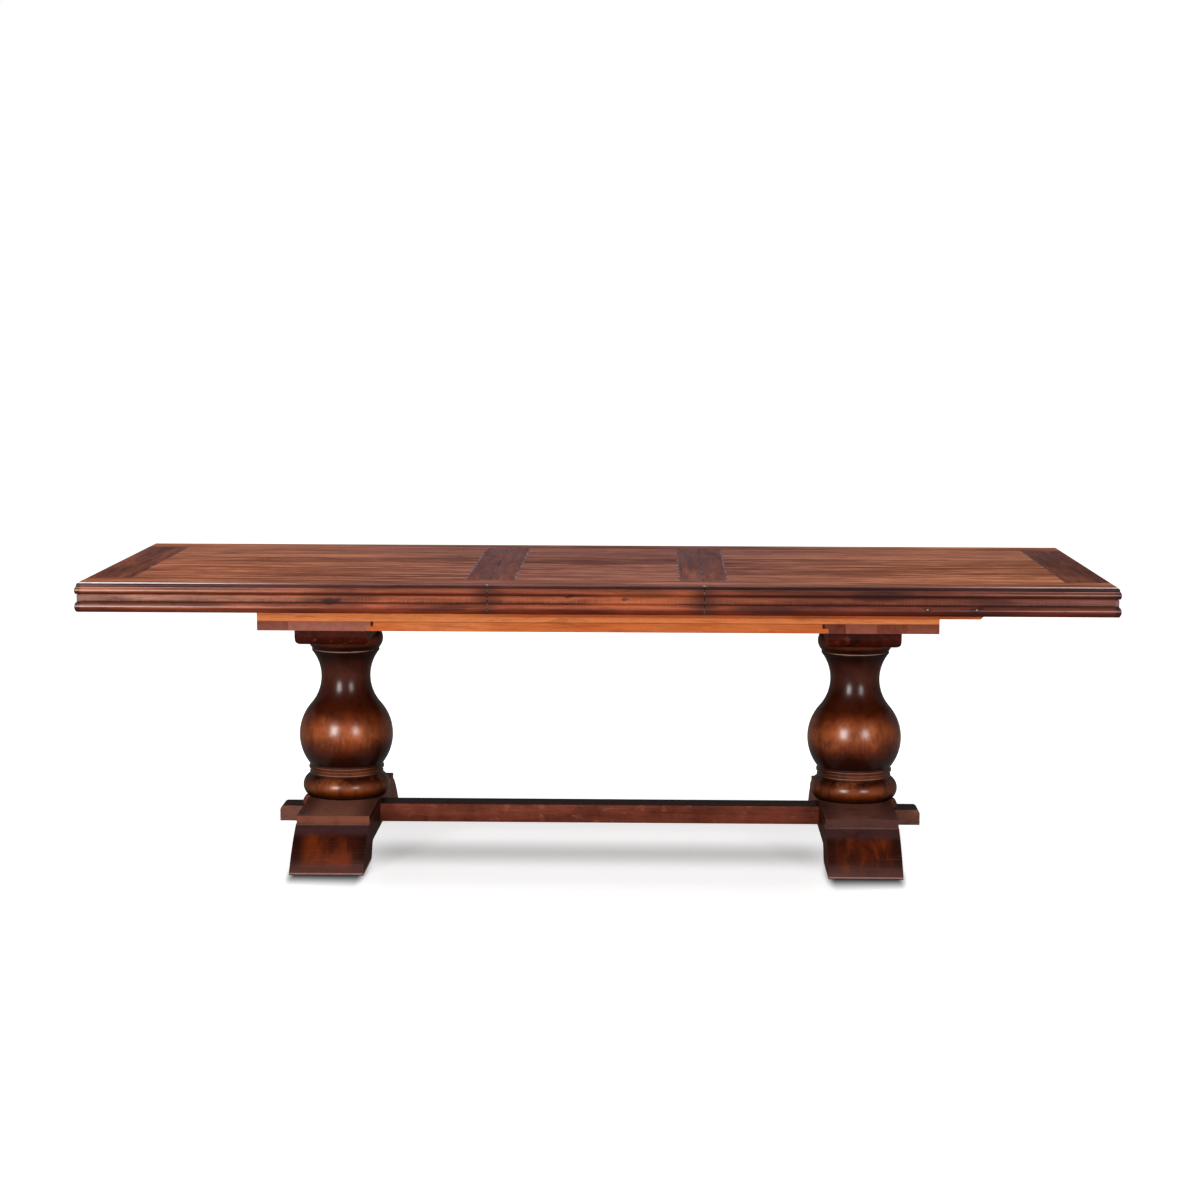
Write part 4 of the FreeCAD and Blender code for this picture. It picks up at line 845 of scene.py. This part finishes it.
studio = {
    "floor": (214, 214, 214), "contact": (24, 24, 25), "floorSize": 60, "floorDrop": 0.0004, "floorFlat": 0.9,
    # The painted soft shadow under the table and the stretcher's painted shadow: how bright the floor glows,
    # ranges along x and y, and depths.
    "glow": 0.95, "underX": (1.0, 0.5), "underFront": (-0.76, -0.64), "underBack": (0.75, 0.25),
    "under": 0.22,
    "bandY": -0.169, "bandReach": (0.21, 0.0), "bandX": (0.72, 0.55), "band": 0.36,
    "front": (-0.10, -0.35, 0.16), "apron": (-0.36, -0.54, 0.135),
    # How far the painted contact shadow reaches beside the toes, under the arch, and before the front and
    # back toes.
    "beside": 0.036, "behind": 0.28, "before": (0.19, 0.05), "swap": (0.1, -0.1),
    "fill": 0.20,
    "lamps": (
        # place, what it faces, width, height, watts, whether it lights matt faces, whether it shows in gloss
        ((-5.8, -11.2, 3.30), (-0.2, 0.0, 0.45), 2.0, 2.0, 600, True, False),
        ((5.9, -11.4, 3.40), (0.2, 0.0, 0.45), 1.9, 1.9, 350, True, False),
        ((-0.6, -11.6, 0.70), (0.0, 0.0, 0.45), 4.0, 1.2, 450, True, False),
        ((-0.3, -0.9, 3.60), (0.0, -0.4, 0.7), 3.6, 2.0, 96, True, True),
        ((-5.8, -11.2, 3.30), (-0.2, 0.0, 0.45), 3.4, 4.6, 6600, False, True),
        ((5.9, -11.4, 3.40), (0.2, 0.0, 0.45), 3.0, 4.2, 3700, False, True),
    ),
}


def floorGlow(finish):
    # How bright the floor looks: pure white but for a painted soft shadow under the table and a painted band
    # of the stretcher's shadow.
    look = studio
    x, y = abs(finish.x), finish.y
    under = finish.fade(x, *look["underX"]) * finish.fade(y, *look["underFront"])
    under = under * finish.fade(y, *look["underBack"])
    # A painted shadow of the stretcher: a darker band across the floor.
    band = finish.effect(abs(y - look["bandY"]), *look["bandReach"], look["band"])
    band = band * finish.fade(x, *look["bandX"])
    deeper = finish.effect(y, *look["front"]) + finish.effect(y, *look["apron"]) + look["under"]
    return look["glow"] - under * deeper - band


def clearOfToes(finish):
    # 0 where a toe stands on the floor and 1 away from it, soft and round at the corners: the mask of the
    # painted contact shadow.
    look = studio
    coreHalf, coreReach = footLook["core"]
    beyond = abs(finish.y) - coreReach
    nearFront, nearBack = look["before"]
    before = finish.effect(finish.y, *look["swap"], nearFront - nearBack) + nearBack
    ways = (
        (abs(abs(finish.x) - footLook["place"]) - coreHalf).maths("MAXIMUM", 0) / look["beside"],
        beyond.maths("MAXIMUM", 0) / before,
        (0 - beyond).maths("MAXIMUM", 0) / look["behind"],
    )
    first, *rest = [way * way for way in ways]
    return finish.fade(sum(rest, first) ** 0.5, 0.0, 1.0)


def seenDirectly(finish):
    # 1 for the camera, and in reflections and through glass. 0 for light that falls on the table.
    rays = finish.node("LightPath", out=("Is Camera Ray", "Is Glossy Ray", "Is Transmission Ray"))
    return rays[0].maths("MAXIMUM", rays[1]).maths("MAXIMUM", rays[2])


def buildFloor():
    bpy.ops.mesh.primitive_plane_add(size=studio["floorSize"], location=(0, 0, -studio["floorDrop"]))
    floor = bpy.context.object
    floor.name = "floor"
    finish = Finish("floorPaint")
    # The floor is painted dark and glows less at the toes: a painted contact shadow.
    clear = clearOfToes(finish)
    colour = finish.blend(clear, studio["contact"], studio["floor"])
    glow = seenDirectly(finish) * floorGlow(finish) * clear
    shader = finish.node("BsdfPrincipled", inputs={
        "Base Color": colour, "Roughness": studio["floorFlat"], "Specular IOR Level": 0,
        "Emission Color": glow, "Emission Strength": 1})
    finish.node("OutputMaterial", inputs={"Surface": shader})
    floor.data.materials.append(finish.home)


def buildBackdrop():
    world = bpy.data.worlds.new("studio")
    bpy.context.scene.world = world
    sky = Finish(home=world)
    seen = seenDirectly(sky)
    strength = sky.node("MapRange", inputs={"Value": seen, "To Min": studio["fill"], "To Max": 1})
    background = sky.node("Background", inputs={"Color": (1, 1, 1, 1), "Strength": strength})
    sky.node("OutputWorld", inputs={"Surface": background})


def buildLamps():
    for number, (place, facing, width, height, watts, inMatt, inGloss) in enumerate(studio["lamps"]):
        lamp = bpy.data.lights.new(f"softbox{number}", "AREA")
        lamp.shape = "RECTANGLE"
        lamp.size, lamp.size_y = width, height
        lamp.energy = watts
        stand = bpy.data.objects.new(f"softbox{number}", lamp)
        stand.location = place
        stand.rotation_euler = (Vector(facing) - Vector(place)).to_track_quat("-Z", "Y").to_euler()
        stand.visible_camera = False
        stand.visible_diffuse = inMatt
        stand.visible_glossy = inGloss
        bpy.context.scene.collection.objects.link(stand)


# The camera as the photograph was taken, angles in radians and lens in millimetres.
camera = {
    "place": (0.1539, -7.1819, 1.5232), "yaw": -0.0214756, "pitch": 0.1173212, "roll": 0.0028705,
    "lens": 78.207, "sensor": 36,
}


def buildCamera():
    yaw, pitch, roll = camera["yaw"], camera["pitch"], camera["roll"]
    ahead = Vector((math.sin(yaw) * math.cos(pitch), math.cos(yaw) * math.cos(pitch), -math.sin(pitch)))
    right = Vector((math.cos(yaw), -math.sin(yaw), 0))
    up = right.cross(ahead)
    turnedRight = right * math.cos(roll) + up * math.sin(roll)
    turnedUp = up * math.cos(roll) - right * math.sin(roll)
    lens = bpy.data.cameras.new("camera")
    lens.lens = camera["lens"]
    lens.sensor_width = camera["sensor"]
    view = bpy.data.objects.new("camera", lens)
    turned = Matrix((turnedRight, turnedUp, -ahead)).transposed().to_4x4()
    view.matrix_world = Matrix.Translation(camera["place"]) @ turned
    bpy.context.scene.collection.objects.link(view)
    bpy.context.scene.camera = view


buildFloor()
buildBackdrop()
buildLamps()
buildCamera()
bpy.context.scene.view_settings.view_transform = "Standard"
print("studio and camera ready")
